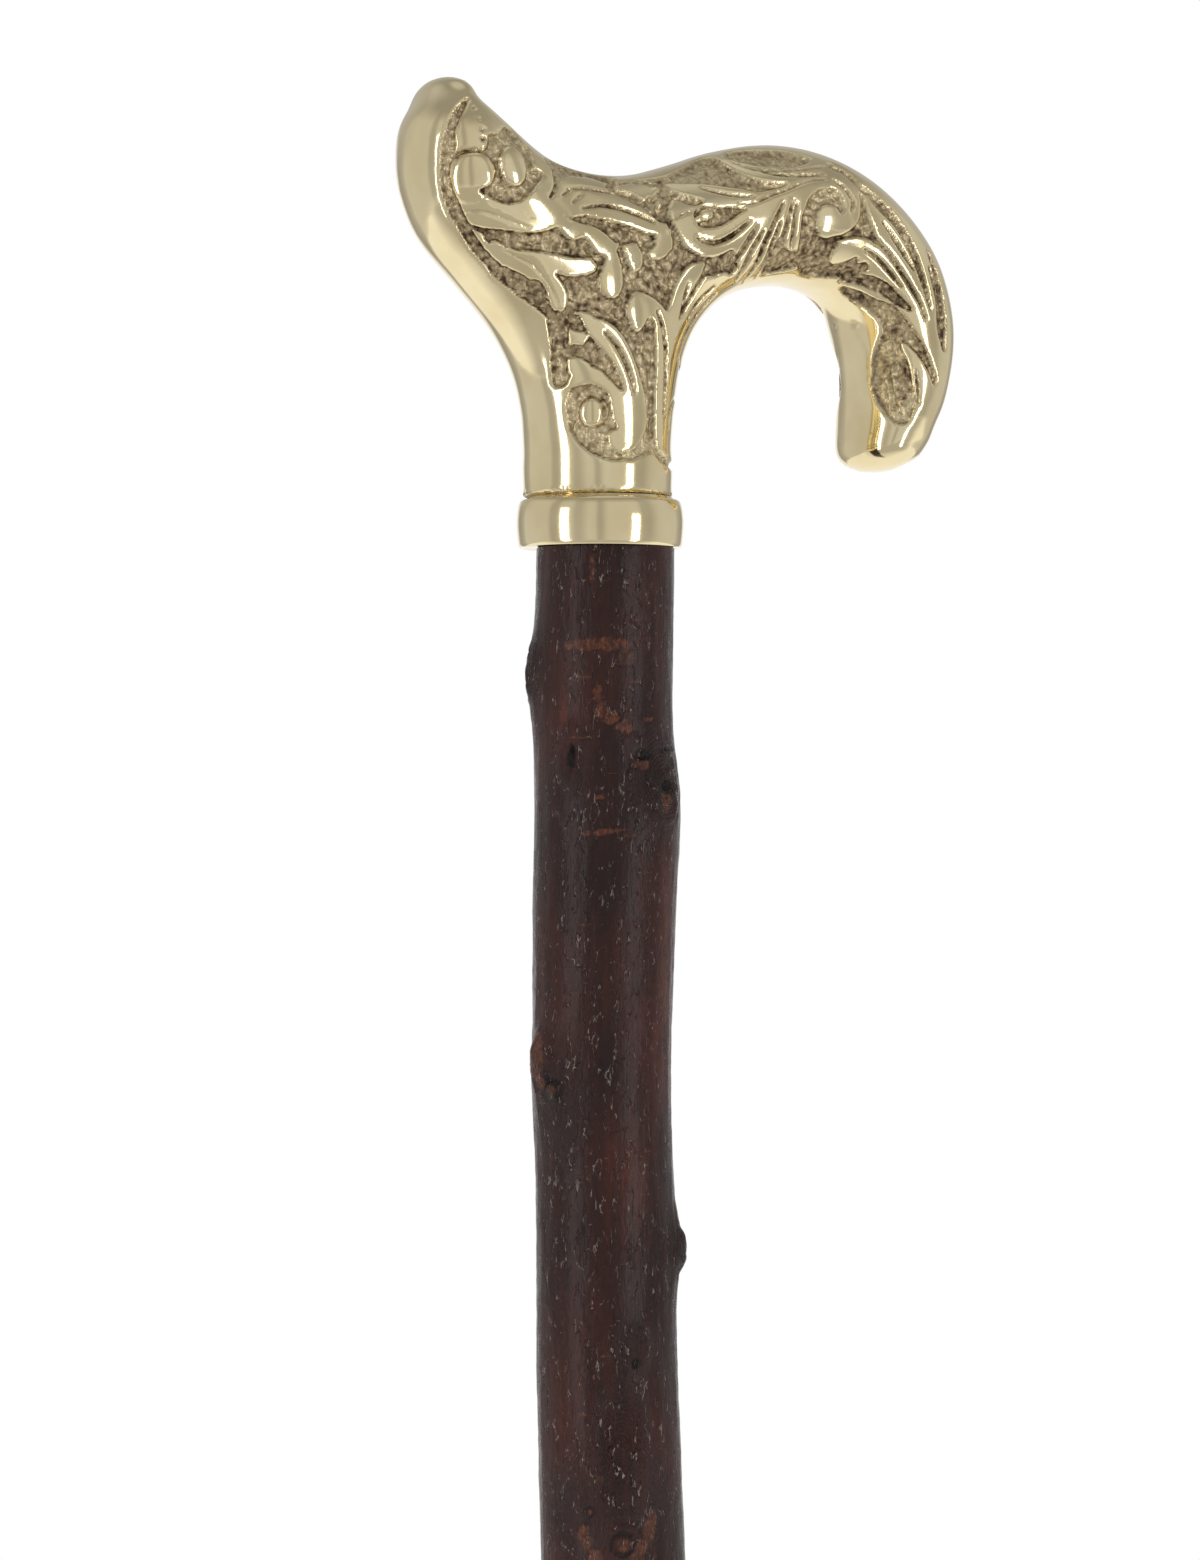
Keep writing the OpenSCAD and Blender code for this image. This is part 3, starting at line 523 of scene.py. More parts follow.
def smooth_body(settings):
    """The cast body as a fine even mesh, with its facets and its neck joint smoothed away."""
    bm = bmesh.new()
    bm.from_mesh(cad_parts["handle"].data)
    bmesh.ops.remove_doubles(bm, verts=bm.verts, dist=0.002 * MM)
    rough = bpy.data.meshes.new("rough")
    bm.to_mesh(rough)
    bm.free()
    holder = bpy.data.objects.new("holder", rough)
    bpy.context.scene.collection.objects.link(holder)
    remesh = holder.modifiers.new("even", "REMESH")
    remesh.mode = "VOXEL"
    remesh.voxel_size = settings.grain
    mesh = bpy.data.meshes.new_from_object(holder.evaluated_get(bpy.context.evaluated_depsgraph_get()))
    bpy.data.objects.remove(holder)

    points = positions(mesh)
    edges = edge_pairs(mesh)
    high = points[:, 2] / MM - SEAT
    loose = smooth_step(high, 1.0, 3.5)[:, None]
    points = relax(points, edges, 60, (0.5, -0.52), loose)
    x = points[:, 0] / MM
    joint = smooth_step(high, 22, 30) * (1 - smooth_step(high, 42, 52))
    joint *= smooth_step(x, -34, -26) * (1 - smooth_step(x, 20, 27))
    points = relax(points, edges, 110, 0.5, joint[:, None])
    points = relax(points, edges, 40, (0.5, -0.51), loose)
    tip = (1 - smooth_step(high, 8, 16)) * smooth_step(x, 42, 46)
    points = relax(points, edges, 60, (0.5, -0.51), tip[:, None])
    x, high = points[:, 0] / MM, points[:, 2] / MM - SEAT
    for middle_x, middle_z, reach, dx, dz in NUDGES:
        near = np.exp(-((x - middle_x) ** 2 + (high - middle_z) ** 2) / reach**2)
        points[:, 0] += dx * MM * near
        points[:, 2] += dz * MM * near

    # The plain foot of the neck is turned true, and the stud's hole keeps its size
    high = points[:, 2] / MM - SEAT
    middle = -0.5 * MM
    out = np.hypot(points[:, 0] - middle, points[:, 1])
    round_foot = (1 - smooth_step(high, 5, 9)) * (out > 10.5 * MM) * (out < 16 * MM) * (high > 0.35)
    pull = 1 + (12.8 * MM / np.maximum(out, MM) - 1) * round_foot
    points[:, 0] = middle + (points[:, 0] - middle) * pull
    points[:, 1] *= pull
    points[high < 0.25, 2] = SEAT * MM
    inner = np.hypot(points[:, 0], points[:, 1])
    hole = (inner < 6.5 * MM) & (high < 26.2) & (high > 0.3)
    points[hole, :2] *= (5.1 * MM / np.maximum(inner[hole], MM))[:, None]
    mesh.vertices.foreach_set("co", points.ravel())
    mesh.update()
    return mesh


def refine(mesh, cheek, edge, limit):
    """Splits the faces that a carved edge or the sunk ground crosses."""
    points = positions(mesh)
    x, z = points[:, 0] / MM, points[:, 2] / MM - CARVING
    slope = np.hypot(*np.gradient(edge, cheek.cell))
    busy = cheek.sample(slope, x, z) > limit
    busy |= cheek.sample(edge, x, z) < 0.5
    busy &= np.abs(normals(mesh)[:, 1]) > 0.12
    busy &= np.hypot(points[:, 0], points[:, 1]) > 6.5 * MM
    bm = bmesh.new()
    bm.from_mesh(mesh)
    bm.verts.ensure_lookup_table()
    faces = [f for f in bm.faces if any(busy[v.index] for v in f.verts)]
    split = list({e for f in faces for e in f.edges})
    bmesh.ops.subdivide_edges(bm, edges=split, cuts=1, use_grid_fill=True)
    long_faces = [f for f in bm.faces if len(f.verts) > 4]
    bmesh.ops.triangulate(bm, faces=long_faces)
    bm.to_mesh(mesh)
    bm.free()
    mesh.update()


def carve_handle(mesh, settings):
    """Sinks the ground between the leaves and marks it for the patina, and for painted shade on the leaf walls, in
    narrow hollows and along the foot.
    """
    cheek = Cheek()
    cheek.carve()
    edge = cheek.soften(cheek.level, settings.wall / MM)
    wide = cheek.soften(cheek.level, 0.9)
    dome = cheek.soften(cheek.dome, 0.12)
    refine(mesh, cheek, edge, 0.35)

    points = positions(mesh)
    facing = normals(mesh)
    x, z = points[:, 0] / MM, points[:, 2] / MM - CARVING
    level = cheek.sample(edge, x, z)
    crown = cheek.sample(wide, x, z)
    height = -settings.relief * (1 - level) - settings.crown * np.clip(1 - crown, 0, 1) * level
    height += cheek.sample(dome, x, z) * MM
    grit = np.array([noise.noise(Vector(p) * (1.05 / MM)) for p in points])
    height += settings.stipple * grit * smooth_step(1 - level, 0.5, 0.95)

    side = smooth_step(np.abs(facing[:, 1]), 0.14, 0.4)
    inside = np.hypot(points[:, 0], points[:, 1]) < 6.5 * MM
    side[inside & (z < 28)] = 0
    skin = settings.skin * smooth_step(points[:, 2] / MM - SEAT, 1, 5) * ~(inside & (z < 28))
    points += facing * (height * side + skin)[:, None]
    mesh.vertices.foreach_set("co", points.ravel())
    # Painted shade: the foot just above the seat is marked as sunk and as wall, so it darkens into a line where the
    # handle meets the collar
    foot = (1 - smooth_step(points[:, 2] / MM - SEAT, 0.05, 0.4)) * ~inside
    shown = smooth_step(np.abs(facing[:, 1]), 0.05, 0.2)
    store(mesh, "sunk", np.maximum(smooth_step(1 - level, 0.05, 0.4) * shown, foot))
    # The wall and hollow masks below carry painted shade into the ground's colour
    store(mesh, "wall", np.maximum(np.exp(-(((level - 0.3) / 0.28) ** 2)) * shown, foot))
    store(mesh, "hollow_shade", smooth_step(crown, 0.1, 0.7) * shown)
    mesh.shade_smooth()
    mesh.update()


def polished_brass(name, settings, carved):
    """Cast brass buffed bright by hand: mirror-like with soft ripples, and on carved work a ground
    left matte and brown by patina, with the grains of its stipple rubbed bright, painted shade on its
    walls and in its narrow hollows, and painted lightening low on the neck and on the top."""
    material, tree, output = blank_material(name)
    place = add(tree, "ShaderNodeTexCoord").outputs["Object"]
    ripple = add(tree, "ShaderNodeTexNoise", {"Vector": place, "Scale": 0.11 / MM, "Detail": 1.0})
    scratch_place = add(tree, "ShaderNodeMapping", {"Vector": place, "Scale": (1.0, 1.0, 0.12)})
    scratch = add(
        tree, "ShaderNodeTexNoise", {"Vector": scratch_place.outputs["Vector"], "Scale": 6 / MM, "Detail": 4.0}
    )
    film = add(tree, "ShaderNodeTexNoise", {"Vector": place, "Scale": 0.12 / MM, "Detail": 3.0})
    tint = add(
        tree,
        "ShaderNodeValToRGB",
        {"Fac": film.outputs["Fac"]},
        stops=[(0.3, settings.brass_shade), (0.62, settings.brass)],
    )
    sheen = add(
        tree,
        "ShaderNodeMapRange",
        {"Value": scratch.outputs["Fac"], "From Min": 0.3, "From Max": 0.75, "To Min": 0.08, "To Max": 0.13},
    )
    wave = add(
        tree, "ShaderNodeBump", {"Height": ripple.outputs["Fac"], "Strength": 0.25, "Distance": 0.08 * MM}
    )
    if not carved:
        shader = add(
            tree,
            "ShaderNodeBsdfPrincipled",
            {
                "Base Color": tint.outputs["Color"],
                "Metallic": 1.0,
                "Roughness": sheen.outputs["Result"],
                "Normal": wave.outputs["Normal"],
            },
        )
        tree.links.new(shader.outputs["BSDF"], output.inputs["Surface"])
        return material

    sunk = add(tree, "ShaderNodeAttribute", attribute_name="sunk").outputs["Fac"]
    wall = add(tree, "ShaderNodeAttribute", attribute_name="wall").outputs["Fac"]
    hollow_shade = add(tree, "ShaderNodeAttribute", attribute_name="hollow_shade").outputs["Fac"]
    # Punched ground: worn pebbles and short worms with the patina left between them
    drift = add(tree, "ShaderNodeTexNoise", {"Vector": place, "Scale": 0.5 / MM, "Detail": 1.0})
    bent = add(
        tree, "ShaderNodeVectorMath", {0: drift.outputs["Color"], 1: (2.2 * MM, 2.2 * MM, 2.2 * MM), 2: place}, operation="MULTIPLY_ADD"
    )
    grains = add(
        tree, "ShaderNodeTexVoronoi", {"Vector": bent.outputs["Vector"], "Scale": 1.0 / MM, "Smoothness": 0.6}, feature="SMOOTH_F1"
    )
    dust = add(tree, "ShaderNodeTexNoise", {"Vector": place, "Scale": 1.1 / MM, "Detail": 3.0, "Roughness": 0.5})
    stain = add(tree, "ShaderNodeTexNoise", {"Vector": place, "Scale": 0.16 / MM, "Detail": 2.0})
    lump = add(
        tree, "ShaderNodeMath", {0: grains.outputs["Distance"], 1: -0.8, 2: dust.outputs["Fac"]}, operation="MULTIPLY_ADD"
    )
    # Painted shade: narrow hollows and the walls of the leaves, the foot among them, are darkened over the patina
    depth = add(tree, "ShaderNodeMath", {0: hollow_shade, 1: -0.1, 2: lump.outputs["Value"]}, operation="MULTIPLY_ADD")
    depth = add(tree, "ShaderNodeMath", {0: wall, 1: -0.26, 2: depth.outputs["Value"]}, operation="MULTIPLY_ADD")
    depth = add(tree, "ShaderNodeMath", {0: stain.outputs["Fac"], 1: 0.9, 2: depth.outputs["Value"]}, operation="MULTIPLY_ADD")
    # The ground is painted lighter low on the neck and on the top of the handle; on the top this is a painted
    # reflection of the bright sky above
    tall = add(tree, "ShaderNodeSeparateXYZ", {"Vector": place}).outputs["Z"]
    lighter_neck_and_top = add(
        tree, "ShaderNodeMapRange", {"Value": tall, "From Min": SEAT * MM, "From Max": (SEAT + 70) * MM}
    )
    lighter_neck_and_top = add(
        tree, "ShaderNodeValToRGB", {"Fac": lighter_neck_and_top.outputs["Result"]},
        stops=[(0.09, (0.4, 0.4, 0.4, 1)), (0.43, (0, 0, 0, 1)), (0.66, (0, 0, 0, 1)), (0.78, (0.34, 0.34, 0.34, 1))],
    )
    depth = add(tree, "ShaderNodeMath", {0: lighter_neck_and_top.outputs["Color"], 1: depth.outputs["Value"]}, operation="ADD")
    ground = add(
        tree,
        "ShaderNodeValToRGB",
        {"Fac": add(tree, "ShaderNodeMapRange", {"Value": depth.outputs["Value"], "From Min": -0.08, "From Max": 1.0}).outputs["Result"]},
        stops=[(0.14, settings.deep_patina_and_shade), (0.56, settings.patina), (0.9, settings.patina_rubbed)],
    )
    colour = add(
        tree,
        "ShaderNodeMix",
        {"Factor": sunk, "A": tint.outputs["Color"], "B": ground.outputs["Color"]},
        data_type="RGBA",
    )
    rubbed = add(
        tree,
        "ShaderNodeMapRange",
        {"Value": lump.outputs["Value"], "From Min": -0.1, "From Max": 0.4, "To Min": 0.5, "To Max": 0.36},
    )
    rough = add(
        tree,
        "ShaderNodeMix",
        {"Factor": sunk, "A": sheen.outputs["Result"], "B": rubbed.outputs["Result"]},
    )
    grit = add(tree, "ShaderNodeMath", {0: lump.outputs["Value"], 1: sunk}, operation="MULTIPLY")
    stipple = add(
        tree,
        "ShaderNodeBump",
        {"Height": grit.outputs["Value"], "Strength": 1.0, "Distance": 0.3 * MM, "Normal": wave.outputs["Normal"]},
    )
    shader = add(
        tree,
        "ShaderNodeBsdfPrincipled",
        {
            "Base Color": colour.outputs[2],
            "Metallic": 1.0,
            "Roughness": rough.outputs[0],
            "Normal": stipple.outputs["Normal"],
        },
    )
    tree.links.new(shader.outputs["BSDF"], output.inputs["Surface"])
    return material


class BrassSettings(bpy.types.PropertyGroup):
    """Sizes and colours of the cast brass."""

    grain: bpy.props.FloatProperty(
        name="Mesh size", description="Edge length of the smoothed body before carving", default=0.00067, unit="LENGTH"
    )
    relief: bpy.props.FloatProperty(
        name="Relief", description="Depth of the sunk ground below the leaves", default=0.0009, unit="LENGTH"
    )
    crown: bpy.props.FloatProperty(
        name="Crown", description="How far a leaf's edge rolls down from its middle", default=0.0001, unit="LENGTH"
    )
    wall: bpy.props.FloatProperty(
        name="Wall", description="Softness of the wall between leaf and ground", default=0.00013, unit="LENGTH"
    )
    skin: bpy.props.FloatProperty(
        name="Skin", description="How far the buffed surface stands off the smoothed body", default=0.00012, unit="LENGTH"
    )
    stipple: bpy.props.FloatProperty(
        name="Stipple", description="Height of the grains on the sunk ground", default=0.0003, unit="LENGTH"
    )
    brass: bpy.props.FloatVectorProperty(
        name="Brass", description="Polished brass", subtype="COLOR", size=4, default=linear("#F2E2B8")
    )
    brass_shade: bpy.props.FloatVectorProperty(
        name="Dulled brass", description="Polished brass where a film dulls it", subtype="COLOR", size=4, default=linear("#E8D6A9")
    )
    patina: bpy.props.FloatVectorProperty(
        name="Patina", description="Brown ground between the leaves", subtype="COLOR", size=4, default=linear("#B8A582")
    )
    # Deepest colour of the ground: its patinated pits, and the painted shade on walls and in narrow hollows
    deep_patina_and_shade: bpy.props.FloatVectorProperty(
        name="Deep patina", description="Deepest pits of the ground", subtype="COLOR", size=4, default=linear("#544233")
    )
    patina_rubbed: bpy.props.FloatVectorProperty(
        name="Rubbed patina", description="Grains that polishing has touched", subtype="COLOR", size=4, default=linear("#DCCCA6")
    )


class SHILLELAGH_OT_handle(bpy.types.Operator):
    """Carve the derby handle and give it polished and patinated brass"""

    bl_idname = "shillelagh.handle"
    bl_label = "Carved handle"

    def execute(self, context):
        settings = context.scene.shillelagh_brass
        mesh = smooth_body(settings)
        carve_handle(mesh, settings)
        mesh.name = "carved_handle"
        new_piece("carved_handle", mesh, polished_brass("cast_polished_brass", settings, True), "handle")
        return {"FINISHED"}


class SHILLELAGH_OT_collar(bpy.types.Operator):
    """Turn the collar with its soft upper edge and crisp foot"""

    bl_idname = "shillelagh.collar"
    bl_label = "Turned collar"

    def execute(self, context):
        settings = context.scene.shillelagh_brass
        low, high = (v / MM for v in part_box("collar"))
        outer, tall = high.x, high.z - low.z
        inner = outer - 4.65
        outer += 0.15
        section = [(inner, 0.15), (inner + 0.15, 0), (outer - 1.6, 0), (outer - 1.0, -0.15), (outer - 0.6, -0.15), (outer - 0.4, 0.05)]
        for height, inset in ((0.45, 0.28), (1.1, 0.2), (2.2, 0.1), (3.4, 0.01), (4.6, 0.0), (5.8, 0.09), (6.7, 0.24), (7.4, 0.44)):
            section.append((outer - inset, height * tall / 8.5))
        section += [(outer - 0.66, tall - 0.72), (outer - 0.92, tall - 0.52), (outer - 1.25, tall - 0.42)]
        section += [(outer - 1.7, tall - 0.38), (outer - 1.9, tall), (inner + 0.15, tall), (inner, tall - 0.15)]
        mesh = turned("turned_collar", section, low.z, 144)
        new_piece("turned_collar", mesh, polished_brass("turned_polished_brass", settings, False), "collar")
        return {"FINISHED"}


# Bark


# Marks of the bark: kind, distance below the collar in mm, bearing from +X in degrees,
# half height and half width in mm, strength
MARKS = [
    ("ring", 21.4, 158, 5.5, 3.6, 0.4), ("bump", 20.2, 158, 6.5, 5.0, 0.4), ("crease", 21.4, 165, 6.0, 1.2, 0.3),
    ("eye", 35.4, 216, 2.6, 0.9, 1.0), ("lip", 35.4, 216, 4.4, 2.4, 0.8),
    ("eye", 35.1, 274, 1.1, 1.7, 0.9), ("bare", 36.7, 273, 0.9, 1.4, 0.9), ("ring", 39.8, 293, 6.5, 4.5, 0.9),
    ("eye", 34.2, 300, 0.5, 4.0, 0.6),
    ("eye", 40.4, 294, 1.4, 1.4, 1.0), ("bare", 43, 294, 2.0, 1.3, 1.2), ("lip", 42.6, 294, 4.0, 2.4, 0.8),
    ("bare", 16.7, 224, 1.4, 4.2, 0.75), ("bare", 16.6, 248, 1.7, 5.0, 0.85), ("bare", 18.9, 262, 1.6, 2.5, 0.6),
    ("bare", 3.4, 233, 3.6, 1.0, 0.6), ("bare", 15.6, 277, 0.4, 2.0, 0.7), ("bare", 22, 227, 0.5, 1.8, 0.9),
    ("bare", 24.4, 238, 2.2, 1.0, 0.9), ("bare", 27.4, 241, 1.7, 1.7, 1.0), ("bare", 28.9, 248, 1.3, 2.2, 1.0), ("bare", 30.4, 260, 1.5, 1.9, 1.0),
    ("bare", 29.1, 282, 0.5, 1.4, 0.9), ("bare", 32.2, 223, 0.4, 2.6, 1.0), ("bare", 42.3, 240, 0.5, 1.0, 0.9),
    ("bare", 48.4, 236, 0.6, 3.2, 0.8), ("bare", 47.9, 252, 0.5, 3.4, 0.9), ("bare", 48.8, 263, 0.7, 1.6, 0.7),
    ("bare", 63.9, 228, 0.4, 1.2, 0.7), ("bare", 75.4, 232, 0.5, 1.0, 0.5), ("bare", 102.4, 282, 0.4, 1.2, 0.8),
    ("bump", 86.5, 184, 6.0, 4.0, 0.9), ("bare", 85.9, 181, 4.4, 2.6, 1.3), ("bare", 90.4, 186, 2.6, 1.8, 0.9), ("nub", 92, 199, 1.5, 1.4, 0.9),
    ("lip", 88.4, 192, 5.2, 4.5, 0.6), ("dark", 95.4, 200, 9.0, 7.0, 0.8), ("eye", 90.2, 194, 1.6, 0.8, 0.9),
    ("bare", 105.4, 219, 0.4, 1.0, 0.6), ("crease", 119.4, 318, 6.0, 0.9, 0.8), ("ring", 119.4, 325, 4.5, 3.5, 0.25), ("bump", 120.0, 326, 4.4, 4.0, 1.0),
    ("eye", 138.4, 269, 1.0, 1.2, 0.9), ("bare", 136.7, 243, 0.4, 0.8, 0.8), ("lip", 135.4, 266, 3.0, 3.0, 0.5),
    ("ring", 152.4, 257, 9.0, 4.0, 0.7), ("dark", 159.4, 250, 9.0, 12.0, 0.7), ("bare", 157.6, 240, 1.4, 1.2, 0.5),
    ("nub", 163, 232, 0.7, 0.7, 0.6), ("nub", 168.4, 256, 1.7, 1.5, 0.8), ("lip", 168.4, 256, 2.8, 2.5, 1.0),
    ("bare", 166.8, 225, 1.6, 1.2, 1.0), ("bare", 168.6, 230, 1.7, 1.3, 1.2), ("bare", 170.6, 236, 1.6, 1.5, 1.2),
    ("bare", 164.4, 281, 1.9, 1.1, 1.1), ("bare", 166.8, 277, 2.0, 1.3, 1.2), ("bare", 169, 271, 2.0, 1.4, 1.2),
    ("bare", 171, 266, 1.8, 1.6, 1.0), ("bare", 172.8, 248, 1.4, 4.0, 0.7),
]


def lower_marks():
    """The same kinds of scar on the knots that carry on down to the ferrule."""
    found = []
    for i in range(18):
        depth, bearing = 195 + 33 * i, (80 + 137.5 * i) % 360
        if depth > 765:
            break
        found += [("ring", depth, bearing, 6.0, 4.2, 0.8), ("lip", depth + 1.5, bearing, 4.4, 2.8, 0.8)]
        found += [("eye", depth - 3.5, bearing + 6, 1.4, 1.6, 0.8), ("bare", depth + 2.2, bearing - 1, 2.3, 1.6, 1.1)]
        found += [("dark", depth - 8, bearing + 4, 8.0, 7.0, 0.6), ("bare", depth - 16, bearing + 70, 0.7, 3.0, 0.8)]
        found += [("bare", depth + 9, bearing + 190, 0.5, 2.2, 0.8), ("bare", depth + 3, bearing + 120, 1.3, 2.6, 0.6)]
    return found


def sampled_bark(tree, low, high, step=2.0, columns=64):
    """Radius of the CAD bark about the stick's axis, its facets smoothed away, as rows from the bottom."""
    rows = int((high - low) / step) + 1
    z = np.linspace(low, high, rows)
    bearing = np.arange(columns) * 2 * math.pi / columns
    radius = np.zeros((rows, columns))
    for i in range(rows):
        level = min(max(z[i], low + 0.3), high - 0.3)
        for j in range(columns):
            out = Vector((math.cos(bearing[j]), math.sin(bearing[j]), 0))
            hit = tree.ray_cast(out * 60 * MM + Vector((0, 0, level * MM)), -out)
            radius[i, j] = 60 - hit[3] / MM
    for _ in range(2):
        padded = np.vstack([2 * radius[:1] - radius[1:2], radius, 2 * radius[-1:] - radius[-2:-1]])
        radius = (padded[:-2] + 2 * padded[1:-1] + padded[2:]) / 4
        radius = (np.roll(radius, 1, 1) + 2 * radius + np.roll(radius, -1, 1)) / 4
    return radius


def at(grid, row, column):
    """Smooth reading of a grid between its rows and, all the way round, its columns."""

    def weights(t):
        return [(-t + 2 * t**2 - t**3) / 2, (2 - 5 * t**2 + 3 * t**3) / 2, (t + 4 * t**2 - 3 * t**3) / 2, (t**3 - t**2) / 2]

    i, j = np.floor(row).astype(int), np.floor(column).astype(int)
    total = 0
    for a, wa in zip((-1, 0, 1, 2), weights(row - i)):
        for b, wb in zip((-1, 0, 1, 2), weights(column - j)):
            total = total + wa * wb * grid[np.clip(i + a, 0, len(grid) - 1), (j + b) % grid.shape[1]]
    return total


def field(points, across, along, seed, octaves=1):
    """Smooth noise over the bark, of about -1 to 1, with a size in mm across and along the shaft."""
    shift = Vector((seed * 17.3, seed * -9.1, seed * 5.7))
    scale = Vector((1 / (across * MM), 1 / (across * MM), 1 / (along * MM)))
    if octaves == 1:
        return np.array([noise.noise(Vector(p) * scale + shift) for p in points])
    return np.array([noise.fractal(Vector(p) * scale + shift, 1.0, 2.1, octaves) for p in points])


def bark_mesh(settings):
    """The shaft as one closed skin: tip, bark, tenon and the blind hole for the stud."""
    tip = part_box("shaft")[0].z / MM
    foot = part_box("rubber_ferrule")[1].z / MM + 0.4
    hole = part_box("joining_stud")[0].z / MM
    bm = bmesh.new()
    bm.from_mesh(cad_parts["shaft"].data)
    bmesh.ops.remove_doubles(bm, verts=bm.verts, dist=0.002 * MM)
    tree = BVHTree.FromBMesh(bm)
    bm.free()
    radius = sampled_bark(tree, foot, SHOULDER)

    fine = np.arange(SHOULDER - 196, SHOULDER - 0.3, settings.row / MM)
    coarse = np.linspace(foot + 0.5, SHOULDER - 197, 238)
    z = np.r_[coarse, fine, SHOULDER - 0.25]
    below = [(0, tip), (9.0, tip), (9.5, tip + 0.5), (9.5, foot)]
    above = [(9.5, SHOULDER), (9.5, SEAT - 0.5), (9.0, SEAT), (5.05, SEAT), (5.05, hole), (0, hole)]
    rows, columns = len(below) + 1 + len(z) + 1 + len(above), 132

    bm = bmesh.new()
    bmesh.ops.create_grid(bm, x_segments=columns, y_segments=rows - 1, size=0.5)
    mesh = bpy.data.meshes.new("barked_shaft")
    bm.to_mesh(mesh)
    flat = positions(mesh)
    column = np.rint((flat[:, 0] + 0.5) * columns).astype(int) % columns
    row = np.rint((flat[:, 1] + 0.5) * (rows - 1)).astype(int)
    bearing = column * 2 * math.pi / columns
    heights = np.r_[[p[1] for p in below], foot, z, SHOULDER, [p[1] for p in above]]
    fixed = np.r_[[p[0] for p in below], [-1] * (len(z) + 2), [p[0] for p in above]]
    high = heights[row]
    out = at(radius, np.clip((high - foot) / (SHOULDER - foot), 0, 1) * (len(radius) - 1), column * 64 / columns)
    rim = (row == len(below)) | (row == len(below) + 1 + len(z))
    plain = fixed[row] >= 0

    spot = np.stack([out * np.cos(bearing) * MM, out * np.sin(bearing) * MM, high * MM], 1)
    turn = np.degrees(bearing)
    lift = settings.swell * field(spot, 9, 26, 1) / MM
    lift += settings.ripple * field(spot, 1.6, 9, 2) / MM
    lift += 0.6 * settings.ripple * field(spot, 5.5, 1.8, 3) / MM
    rough = field(spot, 1.1, 2.6, 4)
    ragged = field(spot, 1.3, 1.0, 5, 3)
    bare, dark, wild = np.zeros_like(high), np.zeros_like(high), np.zeros_like(high)
    ringed, rings = np.zeros_like(high), np.zeros_like(high)
    for kind, depth, centre, tall, wide, much in MARKS + lower_marks():
        dz = (SHOULDER - 0.6 - depth - high) / tall
        near = np.abs(dz) < 3
        dz = dz[near]
        dx = ((turn[near] - centre + 180) % 360 - 180) / 180 * math.pi * 12.2 / wide
        reach = np.sqrt(dz**2 + dx**2)
        jag = ragged[near] * 0.35
        core = np.clip(1 - reach**2, 0, 1)
        if kind == "bare":
            cover = much * (1 - smooth_step(reach + jag, 0.55, 1.15))
            bare[near] = np.maximum(bare[near], cover)
            lift[near] -= 0.16 * np.clip(cover, 0, 1) * min(1, tall, wide)
        elif kind == "eye":
            dark[near] = np.maximum(dark[near], much * (1 - smooth_step(reach + jag, 0.4, 1.2)))
            lift[near] -= 0.75 * much * (1 - smooth_step(reach + 0.6 * jag, 0.15, 1.1))
        elif kind == "lip":
            wave = np.exp(-(((reach + 0.4 * jag) - 1) / 0.24) ** 2)
            lift[near] += 0.34 * much * wave
            wild[near] = np.maximum(wild[near], 0.8 * np.exp(-((reach / 1.4) ** 4)))
        elif kind == "ring":
            fade = np.exp(-((reach / 1.15) ** 4))
            lift[near] += 0.13 * much * fade * np.sin(reach * 15 + 2.2 * ragged[near])
            wild[near] = np.maximum(wild[near], fade)
            dark[near] = np.maximum(dark[near], 0.35 * much * fade)
            nearer = fade > ringed[near]
            ringed[near] = np.where(nearer, fade, ringed[near])
            rings[near] = np.where(nearer, reach * tall, rings[near])
        elif kind == "bump":
            lift[near] += 0.9 * much * smooth_step(core, 0, 1)
        elif kind == "nub":
            lift[near] += 0.85 * much * np.sqrt(core)
            bare[near] = np.maximum(bare[near], 0.8 * smooth_step(core, 0.2, 0.7))
            dark[near] = np.maximum(dark[near], 0.9 * np.exp(-(((reach - 1.15) / 0.2) ** 2)))
        elif kind == "crease":
            lift[near] += 0.3 * much * np.exp(-((dx + 1.2) ** 2) - dz**2) - 0.5 * much * np.exp(-((dx * 1.6) ** 2) - dz**2)
            dark[near] = np.maximum(dark[near], 0.7 * much * np.exp(-((dx * 1.3) ** 2) - dz**2))
        elif kind == "dark":
            cover = much * (1 - smooth_step(reach + jag, 0.5, 1.3))
            wild[near] = np.maximum(wild[near], 0.55 * cover)
            dark[near] = np.maximum(dark[near], 0.4 * cover)
    lift += (0.02 + 0.14 * wild) * rough + 0.09 * wild * ragged
    calm = smooth_step(SHOULDER - high, 0, 1.5) * smooth_step(high - foot, 0, 1.5)
    out = np.where(plain, fixed[row], out + lift * calm - 0.25 * rim)
    place = np.stack([out * np.cos(bearing) * MM, out * np.sin(bearing) * MM, high * MM], 1)
    mesh.vertices.foreach_set("co", place.ravel())
    store(mesh, "bared", bare * ~plain)
    store(mesh, "scarred", dark * ~plain)
    store(mesh, "gnarled", wild * ~plain)
    store(mesh, "ringed", ringed * ~plain)
    store(mesh, "ring_distance", rings)
    bm.clear()
    bm.from_mesh(mesh)
    bmesh.ops.remove_doubles(bm, verts=bm.verts, dist=0.001 * MM)
    bmesh.ops.recalc_face_normals(bm, faces=bm.faces)
    bm.to_mesh(mesh)
    bm.free()
    mesh.shade_smooth()
    mesh.set_sharp_from_angle(angle=math.radians(60))
    return mesh


